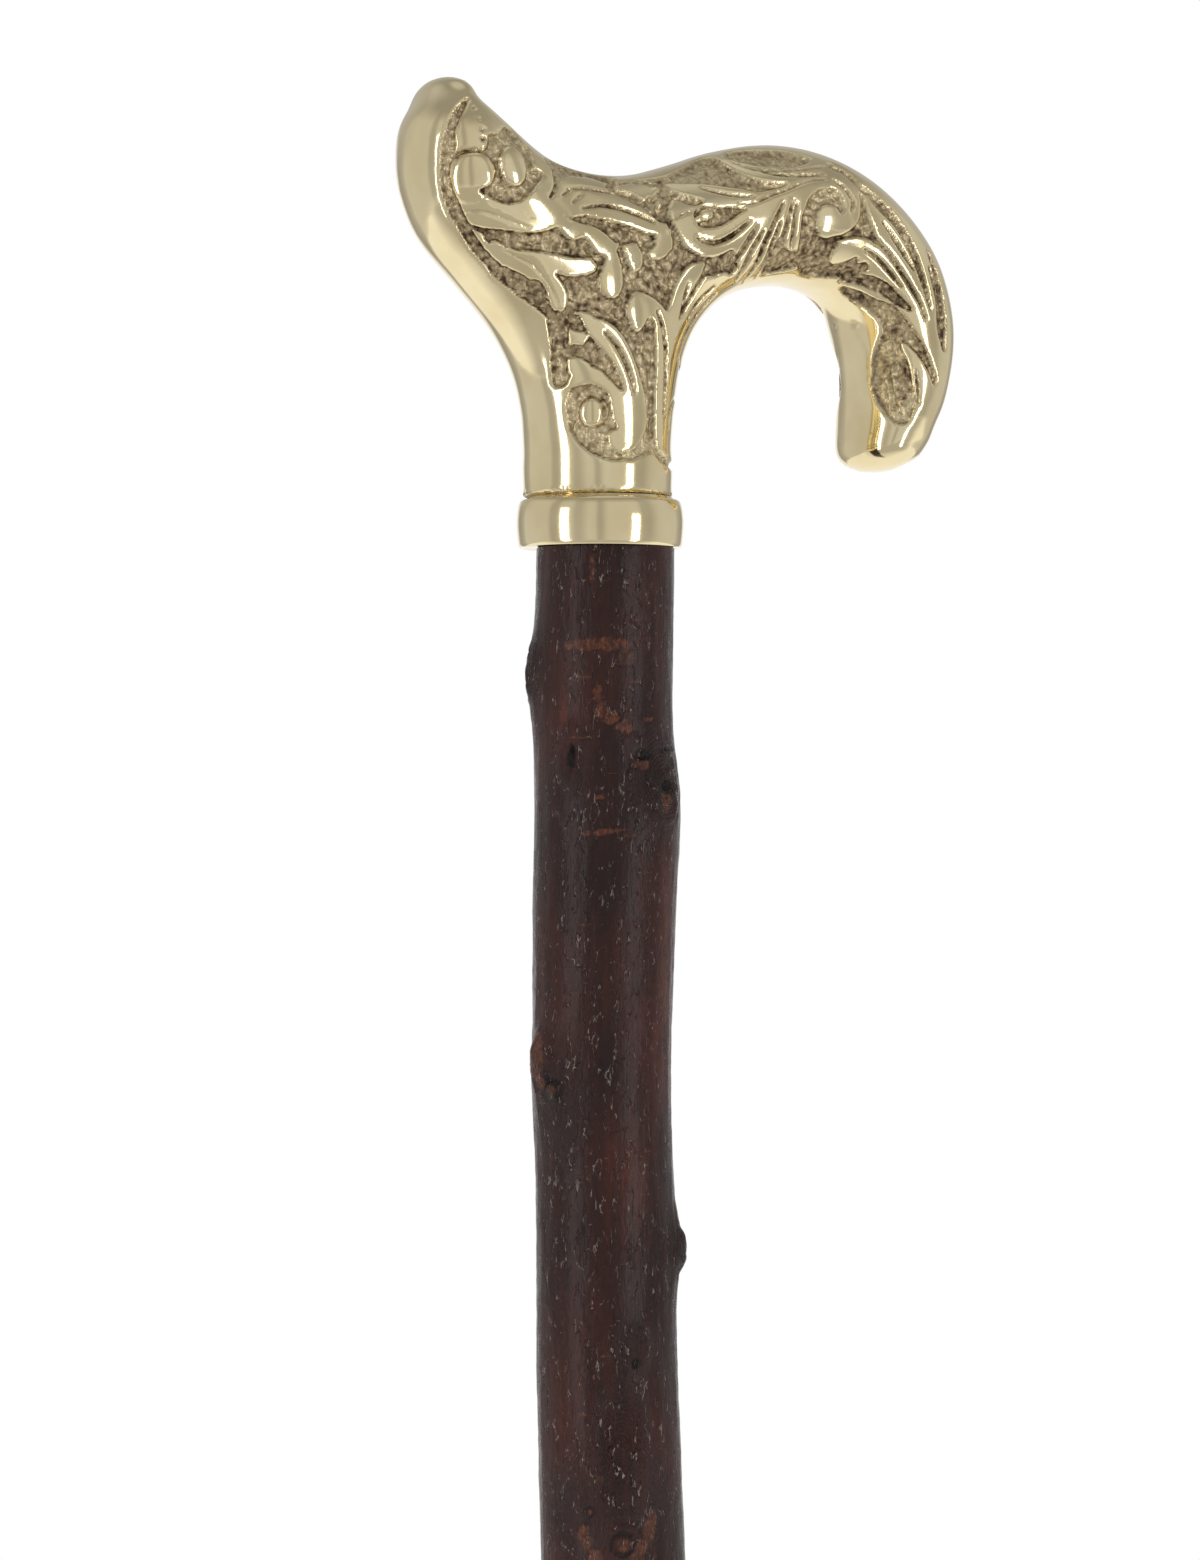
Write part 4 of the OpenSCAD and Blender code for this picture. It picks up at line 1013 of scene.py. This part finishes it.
def varnished_bark(settings):
    """Blackthorn bark, dried on, rubbed and varnished: dark red-brown with a satin film over fine
    creases, darker where it gathers round a knot and orange where the inner bark is bared."""
    material, tree, output = blank_material("varnished_blackthorn_bark")
    place = add(tree, "ShaderNodeTexCoord").outputs["Object"]

    def bark_noise(across, along, **inputs):
        scaled = add(tree, "ShaderNodeMapping", {"Vector": place, "Scale": (1 / across / MM, 1 / across / MM, 1 / along / MM)})
        named = {k.capitalize(): v for k, v in inputs.items()}
        return add(tree, "ShaderNodeTexNoise", {"Vector": scaled.outputs["Vector"], "Scale": 1.0, **named}).outputs["Fac"]

    bared = add(tree, "ShaderNodeAttribute", attribute_name="bared").outputs["Fac"]
    scarred = add(tree, "ShaderNodeAttribute", attribute_name="scarred").outputs["Fac"]
    gnarled = add(tree, "ShaderNodeAttribute", attribute_name="gnarled").outputs["Fac"]
    cloud = bark_noise(14, 30, detail=3.0)
    streak = bark_noise(1.3, 14, detail=4.0, roughness=0.6)
    flake = bark_noise(0.9, 1.6, detail=5.0, roughness=0.62)
    tint = add(tree, "ShaderNodeMath", {0: streak, 1: 0.45, 2: cloud}, operation="MULTIPLY_ADD")
    tint = add(tree, "ShaderNodeMath", {0: flake, 1: 0.4, 2: tint.outputs["Value"]}, operation="MULTIPLY_ADD")
    skin = add(
        tree,
        "ShaderNodeValToRGB",
        {"Fac": add(tree, "ShaderNodeMapRange", {"Value": tint.outputs["Value"], "From Min": 0.65, "From Max": 1.2}).outputs["Result"]},
        stops=[(0.0, settings.bark_dark), (0.45, settings.bark), (0.8, settings.bark_red), (1.0, settings.bark_warm)],
    )
    dash = bark_noise(3.4, 0.55, detail=2.0)
    dashes = add(tree, "ShaderNodeMapRange", {"Value": dash, "From Min": 0.7, "From Max": 0.78, "To Max": 0.6})
    dashed = add(
        tree,
        "ShaderNodeMix",
        {"Factor": dashes.outputs["Result"], "A": skin.outputs["Color"], "B": linear("#6E3A24")},
        data_type="RGBA",
    )
    torn = bark_noise(1.5, 1.7, detail=6.0, roughness=0.68)
    edge = add(tree, "ShaderNodeMath", {0: torn, 1: 2.0, 2: bared}, operation="MULTIPLY_ADD")
    cover = add(tree, "ShaderNodeMapRange", {"Value": edge.outputs["Value"], "From Min": 1.4, "From Max": 1.85, "To Max": 0.85})
    some = add(tree, "ShaderNodeMapRange", {"Value": bared, "From Min": 0.05, "From Max": 0.3})
    gap = add(tree, "ShaderNodeMath", {0: cover.outputs["Result"], 1: some.outputs["Result"]}, operation="MULTIPLY")
    grain = bark_noise(0.6, 0.8, detail=4.0)
    inner = add(
        tree,
        "ShaderNodeValToRGB",
        {"Fac": grain},
        stops=[(0.3, settings.inner_dark), (0.5, settings.inner), (0.68, settings.inner_pale)],
    )
    opened = add(
        tree,
        "ShaderNodeMix",
        {"Factor": gap.outputs["Value"], "A": dashed.outputs[2], "B": inner.outputs["Color"]},
        data_type="RGBA",
    )
    burnt = add(tree, "ShaderNodeMath", {0: flake, 1: 0.5, 2: scarred}, operation="MULTIPLY_ADD")
    black = add(tree, "ShaderNodeMapRange", {"Value": burnt.outputs["Value"], "From Min": 0.5, "From Max": 0.95, "To Max": 0.92})
    stained = add(
        tree,
        "ShaderNodeMix",
        {"Factor": black.outputs["Result"], "A": opened.outputs[2], "B": linear("#120C0B")},
        data_type="RGBA",
    )

    # Short upright cracks: a thin line where a noise crosses its middle, found only in places,
    # with a pale painted glint along one edge, more of it near the knots
    vein = add(tree, "ShaderNodeMath", {0: bark_noise(1.7, 5.0, detail=3.0), 1: 0.5}, operation="SUBTRACT")
    line = add(tree, "ShaderNodeMath", {0: vein.outputs["Value"]}, operation="ABSOLUTE")
    thin = add(tree, "ShaderNodeMapRange", {"Value": line.outputs["Value"], "From Max": 0.035, "To Min": -1.0, "To Max": 0.0})
    where = add(tree, "ShaderNodeMapRange", {"Value": bark_noise(1.5, 3.0, detail=2.0), "From Min": 0.49, "From Max": 0.55})
    crack = add(tree, "ShaderNodeMath", {0: thin.outputs["Result"], 1: where.outputs["Result"]}, operation="MULTIPLY")
    beside = add(tree, "ShaderNodeMath", {0: vein.outputs["Value"], 1: 0.02}, operation="SUBTRACT")
    beside = add(tree, "ShaderNodeMath", {0: beside.outputs["Value"]}, operation="ABSOLUTE")
    painted_glint = add(tree, "ShaderNodeMapRange", {"Value": beside.outputs["Value"], "From Max": 0.018, "To Min": 1.0, "To Max": 0.0})
    sparse = add(tree, "ShaderNodeMapRange", {"Value": bark_noise(0.6, 2.4, detail=2.0), "From Min": 0.46, "From Max": 0.55})
    glint_near_knots = add(tree, "ShaderNodeMapRange", {"Value": gnarled, "To Min": 0.5, "To Max": 0.85})
    painted_glint = add(tree, "ShaderNodeMath", {0: painted_glint.outputs["Result"], 1: glint_near_knots.outputs["Result"]}, operation="MULTIPLY")
    painted_glint = add(tree, "ShaderNodeMath", {0: painted_glint.outputs["Value"], 1: sparse.outputs["Result"]}, operation="MULTIPLY")
    painted_glint = add(tree, "ShaderNodeMath", {0: painted_glint.outputs["Value"], 1: where.outputs["Result"]}, operation="MULTIPLY")
    colour = add(
        tree,
        "ShaderNodeMix",
        {"Factor": painted_glint.outputs["Value"], "A": stained.outputs[2], "B": list(settings.glint_paint)},
        data_type="RGBA",
    )

    wrinkle = bark_noise(0.5, 1.9, detail=4.0, roughness=0.6)
    crossing = bark_noise(2.6, 0.7, detail=3.0)
    coarse = add(tree, "ShaderNodeMath", {0: gnarled, 1: 4.5, 2: 1.0}, operation="MULTIPLY_ADD")
    folds = add(tree, "ShaderNodeMath", {0: wrinkle, 1: coarse.outputs["Value"]}, operation="MULTIPLY")
    folds = add(tree, "ShaderNodeMath", {0: crossing, 1: 0.35, 2: folds.outputs["Value"]}, operation="MULTIPLY_ADD")
    # Growth rings that wrap each knot, about 0.7 mm apart
    ringed = add(tree, "ShaderNodeAttribute", attribute_name="ringed").outputs["Fac"]
    distance = add(tree, "ShaderNodeAttribute", attribute_name="ring_distance").outputs["Fac"]
    wave = add(tree, "ShaderNodeMath", {0: distance, 1: 9.0, 2: bark_noise(2.0, 2.5, detail=2.0)}, operation="MULTIPLY_ADD")
    wave = add(tree, "ShaderNodeMath", {0: wave.outputs["Value"]}, operation="SINE")
    wave = add(tree, "ShaderNodeMath", {0: wave.outputs["Value"], 1: ringed}, operation="MULTIPLY")
    folds = add(tree, "ShaderNodeMath", {0: wave.outputs["Value"], 1: 0.7, 2: folds.outputs["Value"]}, operation="MULTIPLY_ADD")
    folded = add(tree, "ShaderNodeBump", {"Height": folds.outputs["Value"], "Strength": 1.0, "Distance": settings.wrinkle})
    relief = add(
        tree,
        "ShaderNodeBump",
        {"Height": crack.outputs["Value"], "Strength": 1.0, "Distance": settings.crack, "Normal": folded.outputs["Normal"]},
    )
    satin = add(
        tree, "ShaderNodeMapRange", {"Value": bark_noise(1.8, 3.0, detail=4.0), "From Min": 0.3, "From Max": 0.7, "To Min": 0.2, "To Max": 0.3}
    )
    shader = add(
        tree,
        "ShaderNodeBsdfPrincipled",
        {
            "Base Color": colour.outputs[2],
            "Roughness": satin.outputs["Result"],
            "Specular IOR Level": 0.25,
            "Normal": relief.outputs["Normal"],
        },
    )
    tree.links.new(shader.outputs["BSDF"], output.inputs["Surface"])
    return material


class BarkSettings(bpy.types.PropertyGroup):
    """Sizes and colours of the bark."""

    row: bpy.props.FloatProperty(
        name="Row spacing", description="Spacing of the bark's mesh rows near the handle", default=0.00041, unit="LENGTH"
    )
    swell: bpy.props.FloatProperty(
        name="Swell", description="Slow unevenness of the stem", default=0.00016, unit="LENGTH"
    )
    ripple: bpy.props.FloatProperty(
        name="Ripple", description="Height of the lengthwise folds of the bark", default=0.0001, unit="LENGTH"
    )
    wrinkle: bpy.props.FloatProperty(
        name="Wrinkles", description="Depth of the fine wrinkles of the bark", default=0.0001, unit="LENGTH"
    )
    crack: bpy.props.FloatProperty(
        name="Cracks", description="Depth of the short upright cracks", default=0.00015, unit="LENGTH"
    )
    bark: bpy.props.FloatVectorProperty(
        name="Bark", description="Varnished bark", subtype="COLOR", size=4, default=linear("#331C18")
    )
    bark_dark: bpy.props.FloatVectorProperty(
        name="Dark bark", description="Bark in shadowy streaks", subtype="COLOR", size=4, default=linear("#201413")
    )
    bark_red: bpy.props.FloatVectorProperty(
        name="Red bark", description="Bark rubbed thin", subtype="COLOR", size=4, default=linear("#44221C")
    )
    bark_warm: bpy.props.FloatVectorProperty(
        name="Warm bark", description="Bark rubbed through", subtype="COLOR", size=4, default=linear("#562B1E")
    )
    # Colour of the painted glint along the cracks, standing in for light caught on their edges
    glint_paint: bpy.props.FloatVectorProperty(
        name="Wax", description="Old wax caught along the cracks", subtype="COLOR", size=4, default=linear("#BCADA3")
    )
    inner: bpy.props.FloatVectorProperty(
        name="Inner bark", description="Bared layer under the bark", subtype="COLOR", size=4, default=linear("#5C3425")
    )
    inner_dark: bpy.props.FloatVectorProperty(
        name="Stained inner bark", description="Bared layer where varnish pools", subtype="COLOR", size=4, default=linear("#3C231B")
    )
    inner_pale: bpy.props.FloatVectorProperty(
        name="Pale inner bark", description="Bared layer where it is rubbed", subtype="COLOR", size=4, default=linear("#7C4A31")
    )


class SHILLELAGH_OT_shaft(bpy.types.Operator):
    """Lay the knotted bark over the shaft"""

    bl_idname = "shillelagh.shaft"
    bl_label = "Barked shaft"

    def execute(self, context):
        settings = context.scene.shillelagh_bark
        new_piece("barked_shaft", bark_mesh(settings), varnished_bark(settings), "shaft")
        return {"FINISHED"}


# Foot, fittings and studio


def moulded_rubber():
    """Black natural rubber from a steel mould: nearly black, a dry sheen, a skin of fine pores and
    a grey bloom on its edges and tread."""
    material, tree, output = blank_material("moulded_black_rubber")
    place = add(tree, "ShaderNodeTexCoord").outputs["Object"]
    pores = add(tree, "ShaderNodeTexNoise", {"Vector": place, "Scale": 1.6 / MM, "Detail": 5.0, "Roughness": 0.7})
    bloom = add(tree, "ShaderNodeTexNoise", {"Vector": place, "Scale": 0.09 / MM, "Detail": 4.0})
    worn = add(tree, "ShaderNodeNewGeometry")
    rim = add(tree, "ShaderNodeMapRange", {"Value": worn.outputs["Pointiness"], "From Min": 0.5, "From Max": 0.58, "To Max": 0.3})
    shade = add(tree, "ShaderNodeMath", {0: bloom.outputs["Fac"], 1: rim.outputs["Result"]}, operation="ADD")
    tint = add(
        tree, "ShaderNodeValToRGB", {"Fac": shade.outputs["Value"]}, stops=[(0.3, "#141415"), (0.6, "#1F1F20"), (0.95, "#39393A")]
    )
    dry = add(
        tree, "ShaderNodeMapRange", {"Value": pores.outputs["Fac"], "From Min": 0.3, "From Max": 0.7, "To Min": 0.55, "To Max": 0.75}
    )
    skin = add(tree, "ShaderNodeBump", {"Height": pores.outputs["Fac"], "Strength": 0.6, "Distance": 0.08 * MM})
    shader = add(
        tree,
        "ShaderNodeBsdfPrincipled",
        {
            "Base Color": tint.outputs["Color"],
            "Roughness": dry.outputs["Result"],
            "IOR": 1.52,
            "Sheen Weight": 0.15,
            "Sheen Roughness": 0.5,
            "Normal": skin.outputs["Normal"],
        },
    )
    tree.links.new(shader.outputs["BSDF"], output.inputs["Surface"])
    return material


def plated_steel():
    """Zinc-plated mild steel, turned: cool grey, softly bright, with fine rings of the tool."""
    material, tree, output = blank_material("zinc_plated_steel")
    place = add(tree, "ShaderNodeTexCoord").outputs["Object"]
    stretched = add(tree, "ShaderNodeMapping", {"Vector": place, "Scale": (0.2, 0.2, 1.0)})
    rings = add(tree, "ShaderNodeTexNoise", {"Vector": stretched.outputs["Vector"], "Scale": 3 / MM, "Detail": 3.0})
    spangle = add(tree, "ShaderNodeTexNoise", {"Vector": place, "Scale": 0.35 / MM, "Detail": 3.0})
    tint = add(tree, "ShaderNodeValToRGB", {"Fac": spangle.outputs["Fac"]}, stops=[(0.3, "#B9BCBE"), (0.7, "#D3D5D4")])
    dull = add(
        tree, "ShaderNodeMapRange", {"Value": rings.outputs["Fac"], "From Min": 0.3, "From Max": 0.7, "To Min": 0.24, "To Max": 0.4}
    )
    marks = add(tree, "ShaderNodeBump", {"Height": rings.outputs["Fac"], "Strength": 0.5, "Distance": 0.05 * MM})
    shader = add(
        tree,
        "ShaderNodeBsdfPrincipled",
        {"Base Color": tint.outputs["Color"], "Metallic": 1.0, "Roughness": dull.outputs["Result"], "Normal": marks.outputs["Normal"]},
    )
    tree.links.new(shader.outputs["BSDF"], output.inputs["Surface"])
    return material


class SHILLELAGH_OT_ferrule(bpy.types.Operator):
    """Mould the rubber ferrule with its ribs, bell foot and grooved tread"""

    bl_idname = "shillelagh.ferrule"
    bl_label = "Rubber ferrule"

    def execute(self, context):
        foot, tall = (v for v in (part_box("rubber_ferrule")[1].x / MM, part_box("rubber_ferrule")[1].z / MM))
        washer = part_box("ferrule_washer")
        floor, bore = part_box("shaft")[0].z / MM, 9.55
        rim = bore + 3.0
        # Tread, from the axis out, with two round-bottomed grooves
        section = [(0, 0)]
        for middle in (foot * 0.3, foot * 0.62):
            section += [(middle - 1.0, 0), (middle - 0.75, 0.25), (middle - 0.65, 1.2), (middle - 0.3, 1.5)]
            section += [(middle + 0.3, 1.5), (middle + 0.65, 1.2), (middle + 0.75, 0.25), (middle + 1.0, 0)]
        section += [(foot - 1, 0), (foot - 0.45, 0.15), (foot - 0.12, 0.45), (foot, 1)]
        # Bell-shaped foot up to the sleeve
        section += [(foot, 7.4), (foot - 0.1, 8.1), (foot - 0.45, 8.8), (foot - 1.1, 9.4), (foot - 2.0, 10.4)]
        section += [(rim + 1.7, 12.0), (rim + 1.25, 14.0), (rim + 1.0, 16.5), (rim + 0.8, 20)]
        # Sleeve with three rounded ribs under its lip
        for base in (24.6, 28.8, 33.0):
            body = rim + 0.75 - (base - 20) * 0.012
            section += [(body, base - 0.9), (body + 0.1, base - 0.35), (body + 0.5, base + 0.05), (body + 0.8, base + 0.45)]
            section += [(body + 0.8, base + 1.15), (body + 0.5, base + 1.55), (body + 0.1, base + 1.95), (body, base + 2.4)]
        section += [(rim + 0.35, tall - 2.2), (rim + 0.3, tall - 0.8), (rim + 0.05, tall - 0.25), (rim - 0.5, tall)]
        section += [(bore + 0.6, tall), (bore + 0.15, tall - 0.15), (bore, tall - 0.6), (bore, floor)]
        section += [(washer[1].x / MM + 0.05, floor), (washer[1].x / MM + 0.05, washer[0].z / MM), (0, washer[0].z / MM)]
        mesh = turned("moulded_ferrule", section, 0, 96)
        new_piece("moulded_ferrule", mesh, moulded_rubber(), "rubber_ferrule")
        return {"FINISHED"}


class SHILLELAGH_OT_fittings(bpy.types.Operator):
    """Give the stud and the washer their plated steel"""

    bl_idname = "shillelagh.fittings"
    bl_label = "Steel fittings"

    def execute(self, context):
        steel = plated_steel()
        for node in ("joining_stud", "ferrule_washer"):
            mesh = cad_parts[node].data
            mesh.materials.clear()
            mesh.materials.append(steel)
        return {"FINISHED"}


def lamp(name, bearing, away, middle, wide, tall, radiance):
    """A flat soft lamp that faces the stick from a bearing."""
    light = bpy.data.lights.new(name, "AREA")
    light.shape = "RECTANGLE"
    light.size, light.size_y = wide, tall
    light.energy = radiance * math.pi * wide * tall
    holder = bpy.data.objects.new(name, light)
    turn = math.radians(bearing)
    holder.location = (away * math.cos(turn), away * math.sin(turn), middle)
    holder.rotation_euler = (math.pi / 2, 0, turn + math.pi / 2)
    bpy.context.scene.collection.objects.link(holder)
    return holder


# Brightness of the room by its bearing off the view, anticlockwise from above: grey paper in front with
# the dark slot that the camera looks through, dark gaps beside the strips, and the white backdrop
# between dark flags
SURROUND = [
    (-158, 1.0), (-151, 0.40), (-143, 0.37), (-136, 0.44), (-131, 0.48), (-126, 0.64), (-77, 0.60), (-72, 0.44),
    (-62, 0.44), (-58, 0.60), (-42, 0.62), (-34, 0.46), (-27, 0.47), (-21, 0.55), (-15, 0.62), (-6, 0.60),
    (-2.5, 0.44), (2.5, 0.44), (7, 0.55), (12, 0.63), (45, 0.64), (57, 0.60), (60, 0.45), (74, 0.44),
    (79, 0.49), (88, 0.57), (96, 0.60), (128, 0.62), (136, 0.46), (150, 0.35), (155, 0.45), (160, 1.0),
]


class SHILLELAGH_OT_studio(bpy.types.Operator):
    """Set the pale floor, the soft lamps, the white surround and the camera"""

    bl_idname = "shillelagh.studio"
    bl_label = "Studio"

    def execute(self, context):
        scene = context.scene
        bm = bmesh.new()
        bmesh.ops.create_circle(bm, cap_ends=True, segments=96, radius=2.0)
        floor_mesh = bpy.data.meshes.new("studio_floor")
        bm.to_mesh(floor_mesh)
        bm.free()
        floor = bpy.data.objects.new("studio_floor", floor_mesh)
        scene.collection.objects.link(floor)
        material, tree, output = blank_material("matte_white_floor")
        place = add(tree, "ShaderNodeTexCoord").outputs["Object"]
        cloud = add(tree, "ShaderNodeTexNoise", {"Vector": place, "Scale": 3.0, "Detail": 2.0})
        pale = add(tree, "ShaderNodeValToRGB", {"Fac": cloud.outputs["Fac"]}, stops=[(0.3, "#F0F0F0"), (0.7, "#F4F4F4")])
        shader = add(tree, "ShaderNodeBsdfPrincipled", {"Base Color": pale.outputs["Color"], "Roughness": 0.9})
        # For glossy rays the floor glows as painted light: white behind the stick, and dimmed to half before it as a
        # painted shade
        ahead = add(tree, "ShaderNodeVectorMath", {0: place, 1: (-0.5, -0.866, 0.0)}, operation="DOT_PRODUCT")
        level = add(
            tree, "ShaderNodeMapRange", {"Value": ahead.outputs["Value"], "From Min": -0.1, "From Max": 0.5, "To Min": 1.0, "To Max": 0.5}
        )
        floor_glow = add(tree, "ShaderNodeEmission", {"Color": (1, 1, 1, 1), "Strength": level.outputs["Result"]})
        path = add(tree, "ShaderNodeLightPath")
        both = add(
            tree, "ShaderNodeMixShader", {0: path.outputs["Is Glossy Ray"], 1: shader.outputs["BSDF"], 2: floor_glow.outputs["Emission"]}
        )
        tree.links.new(both.outputs["Shader"], output.inputs["Surface"])
        floor_mesh.materials.append(material)

        # Two tall strips, either side of the view
        lamp("strip_right", 290.5, 1.3, 0.55, 0.25, 1.0, 3.4)
        lamp("strip_left", 189.5, 1.3, 0.65, 0.28, 1.2, 2.8)

        # What polished metal sees round it: the belt above, a dim ceiling, and white below
        world = bpy.data.worlds.new("white_surround")
        world.use_nodes = True
        scene.world = world
        tree = world.node_tree
        tree.nodes.clear()
        output = tree.nodes.new("ShaderNodeOutputWorld")
        path = add(tree, "ShaderNodeLightPath")
        way = add(tree, "ShaderNodeTexCoord").outputs["Generated"]
        ahead = add(tree, "ShaderNodeVectorMath", {0: way, 1: (-0.5, -0.866, 0.0)}, operation="DOT_PRODUCT")
        aside = add(tree, "ShaderNodeVectorMath", {0: way, 1: (0.866, -0.5, 0.0)}, operation="DOT_PRODUCT")
        turn = add(tree, "ShaderNodeMath", {0: aside.outputs["Value"], 1: ahead.outputs["Value"]}, operation="ARCTAN2")
        round_it = add(tree, "ShaderNodeMapRange", {"Value": turn.outputs["Value"], "From Min": -math.pi, "From Max": math.pi})
        stops = [((bearing + 180) / 360, (value, value, value, 1)) for bearing, value in SURROUND]
        belt = add(tree, "ShaderNodeValToRGB", {"Fac": round_it.outputs["Result"]}, stops=stops)
        up = add(tree, "ShaderNodeSeparateXYZ", {"Vector": way}).outputs["Z"]

        def grey_over(under, factor, level):
            mixed = add(tree, "ShaderNodeMix", {"Factor": factor, "A": under, "B": (level, level, level, 1)}, data_type="RGBA")
            return mixed.outputs[2]

        behind = add(tree, "ShaderNodeMapRange", {"Value": ahead.outputs["Value"], "From Min": -0.3, "From Max": -0.8})
        raised = add(tree, "ShaderNodeMapRange", {"Value": up, "From Min": 0.1, "From Max": 0.28, "To Max": behind.outputs["Result"]})
        ceiling = add(tree, "ShaderNodeMapRange", {"Value": up, "From Min": 0.5, "From Max": 0.75})
        zenith = add(tree, "ShaderNodeMapRange", {"Value": up, "From Min": 0.84, "From Max": 0.97})
        above = grey_over(belt.outputs["Color"], raised.outputs["Result"], 0.5)
        above = grey_over(above, ceiling.outputs["Result"], 0.35)
        above = grey_over(above, zenith.outputs["Result"], 0.6)
        below = add(tree, "ShaderNodeMapRange", {"Value": up, "From Min": -0.34, "From Max": -0.5})
        glossy = add(
            tree, "ShaderNodeMix", {"Factor": below.outputs["Result"], "A": above, "B": (1, 1, 1, 1)}, data_type="RGBA"
        )
        soft = add(
            tree, "ShaderNodeMix", {"Factor": path.outputs["Is Glossy Ray"], "A": (0.55, 0.55, 0.55, 1), "B": glossy.outputs[2]}, data_type="RGBA"
        )
        seen = add(tree, "ShaderNodeMix", {"Factor": path.outputs["Is Camera Ray"], "A": soft.outputs[2], "B": (1, 1, 1, 1)}, data_type="RGBA")
        sky = add(tree, "ShaderNodeBackground", {"Color": seen.outputs[2], "Strength": 1.0})
        tree.links.new(sky.outputs["Background"], output.inputs["Surface"])

        view = bpy.data.cameras.new("photo_view")
        view.sensor_width = 36
        view.lens = 90.3
        view.clip_start = 0.02
        camera = bpy.data.objects.new("photo_view", view)
        camera.location = (-0.3365, -0.5828, 0.7965)
        camera.rotation_euler = (math.pi / 2, 0, math.radians(-30))
        scene.collection.objects.link(camera)
        scene.camera = camera
        scene.view_settings.view_transform = "Standard"
        return {"FINISHED"}


class SHILLELAGH_PT_panel(bpy.types.Panel):
    """Lists the pieces of the shillelagh"""

    bl_idname = "SHILLELAGH_PT_panel"
    bl_label = "Shillelagh"
    bl_space_type = "VIEW_3D"
    bl_region_type = "UI"
    bl_category = "Shillelagh"

    def draw(self, context):
        scene = context.scene
        for settings in (scene.shillelagh_brass, scene.shillelagh_bark):
            box = self.layout.box()
            for name in settings.bl_rna.properties.keys():
                if name not in ("rna_type", "name"):
                    box.prop(settings, name)
        for part in PARTS:
            self.layout.operator(f"shillelagh.{part}")


PARTS = ("studio", "handle", "collar", "shaft", "ferrule", "fittings")
CLASSES = (
    BrassSettings,
    BarkSettings,
    SHILLELAGH_OT_studio,
    SHILLELAGH_OT_handle,
    SHILLELAGH_OT_collar,
    SHILLELAGH_OT_shaft,
    SHILLELAGH_OT_ferrule,
    SHILLELAGH_OT_fittings,
    SHILLELAGH_PT_panel,
)


def register():
    for kind in CLASSES:
        bpy.utils.register_class(kind)
    bpy.types.Scene.shillelagh_brass = bpy.props.PointerProperty(type=BrassSettings)
    bpy.types.Scene.shillelagh_bark = bpy.props.PointerProperty(type=BarkSettings)


def unregister():
    del bpy.types.Scene.shillelagh_brass
    del bpy.types.Scene.shillelagh_bark
    for kind in reversed(CLASSES):
        bpy.utils.unregister_class(kind)


def main():
    register()
    for part in PARTS:
        getattr(bpy.ops.shillelagh, part)()
    bpy.context.view_layer.update()


if __name__ == "__main__":
    main()
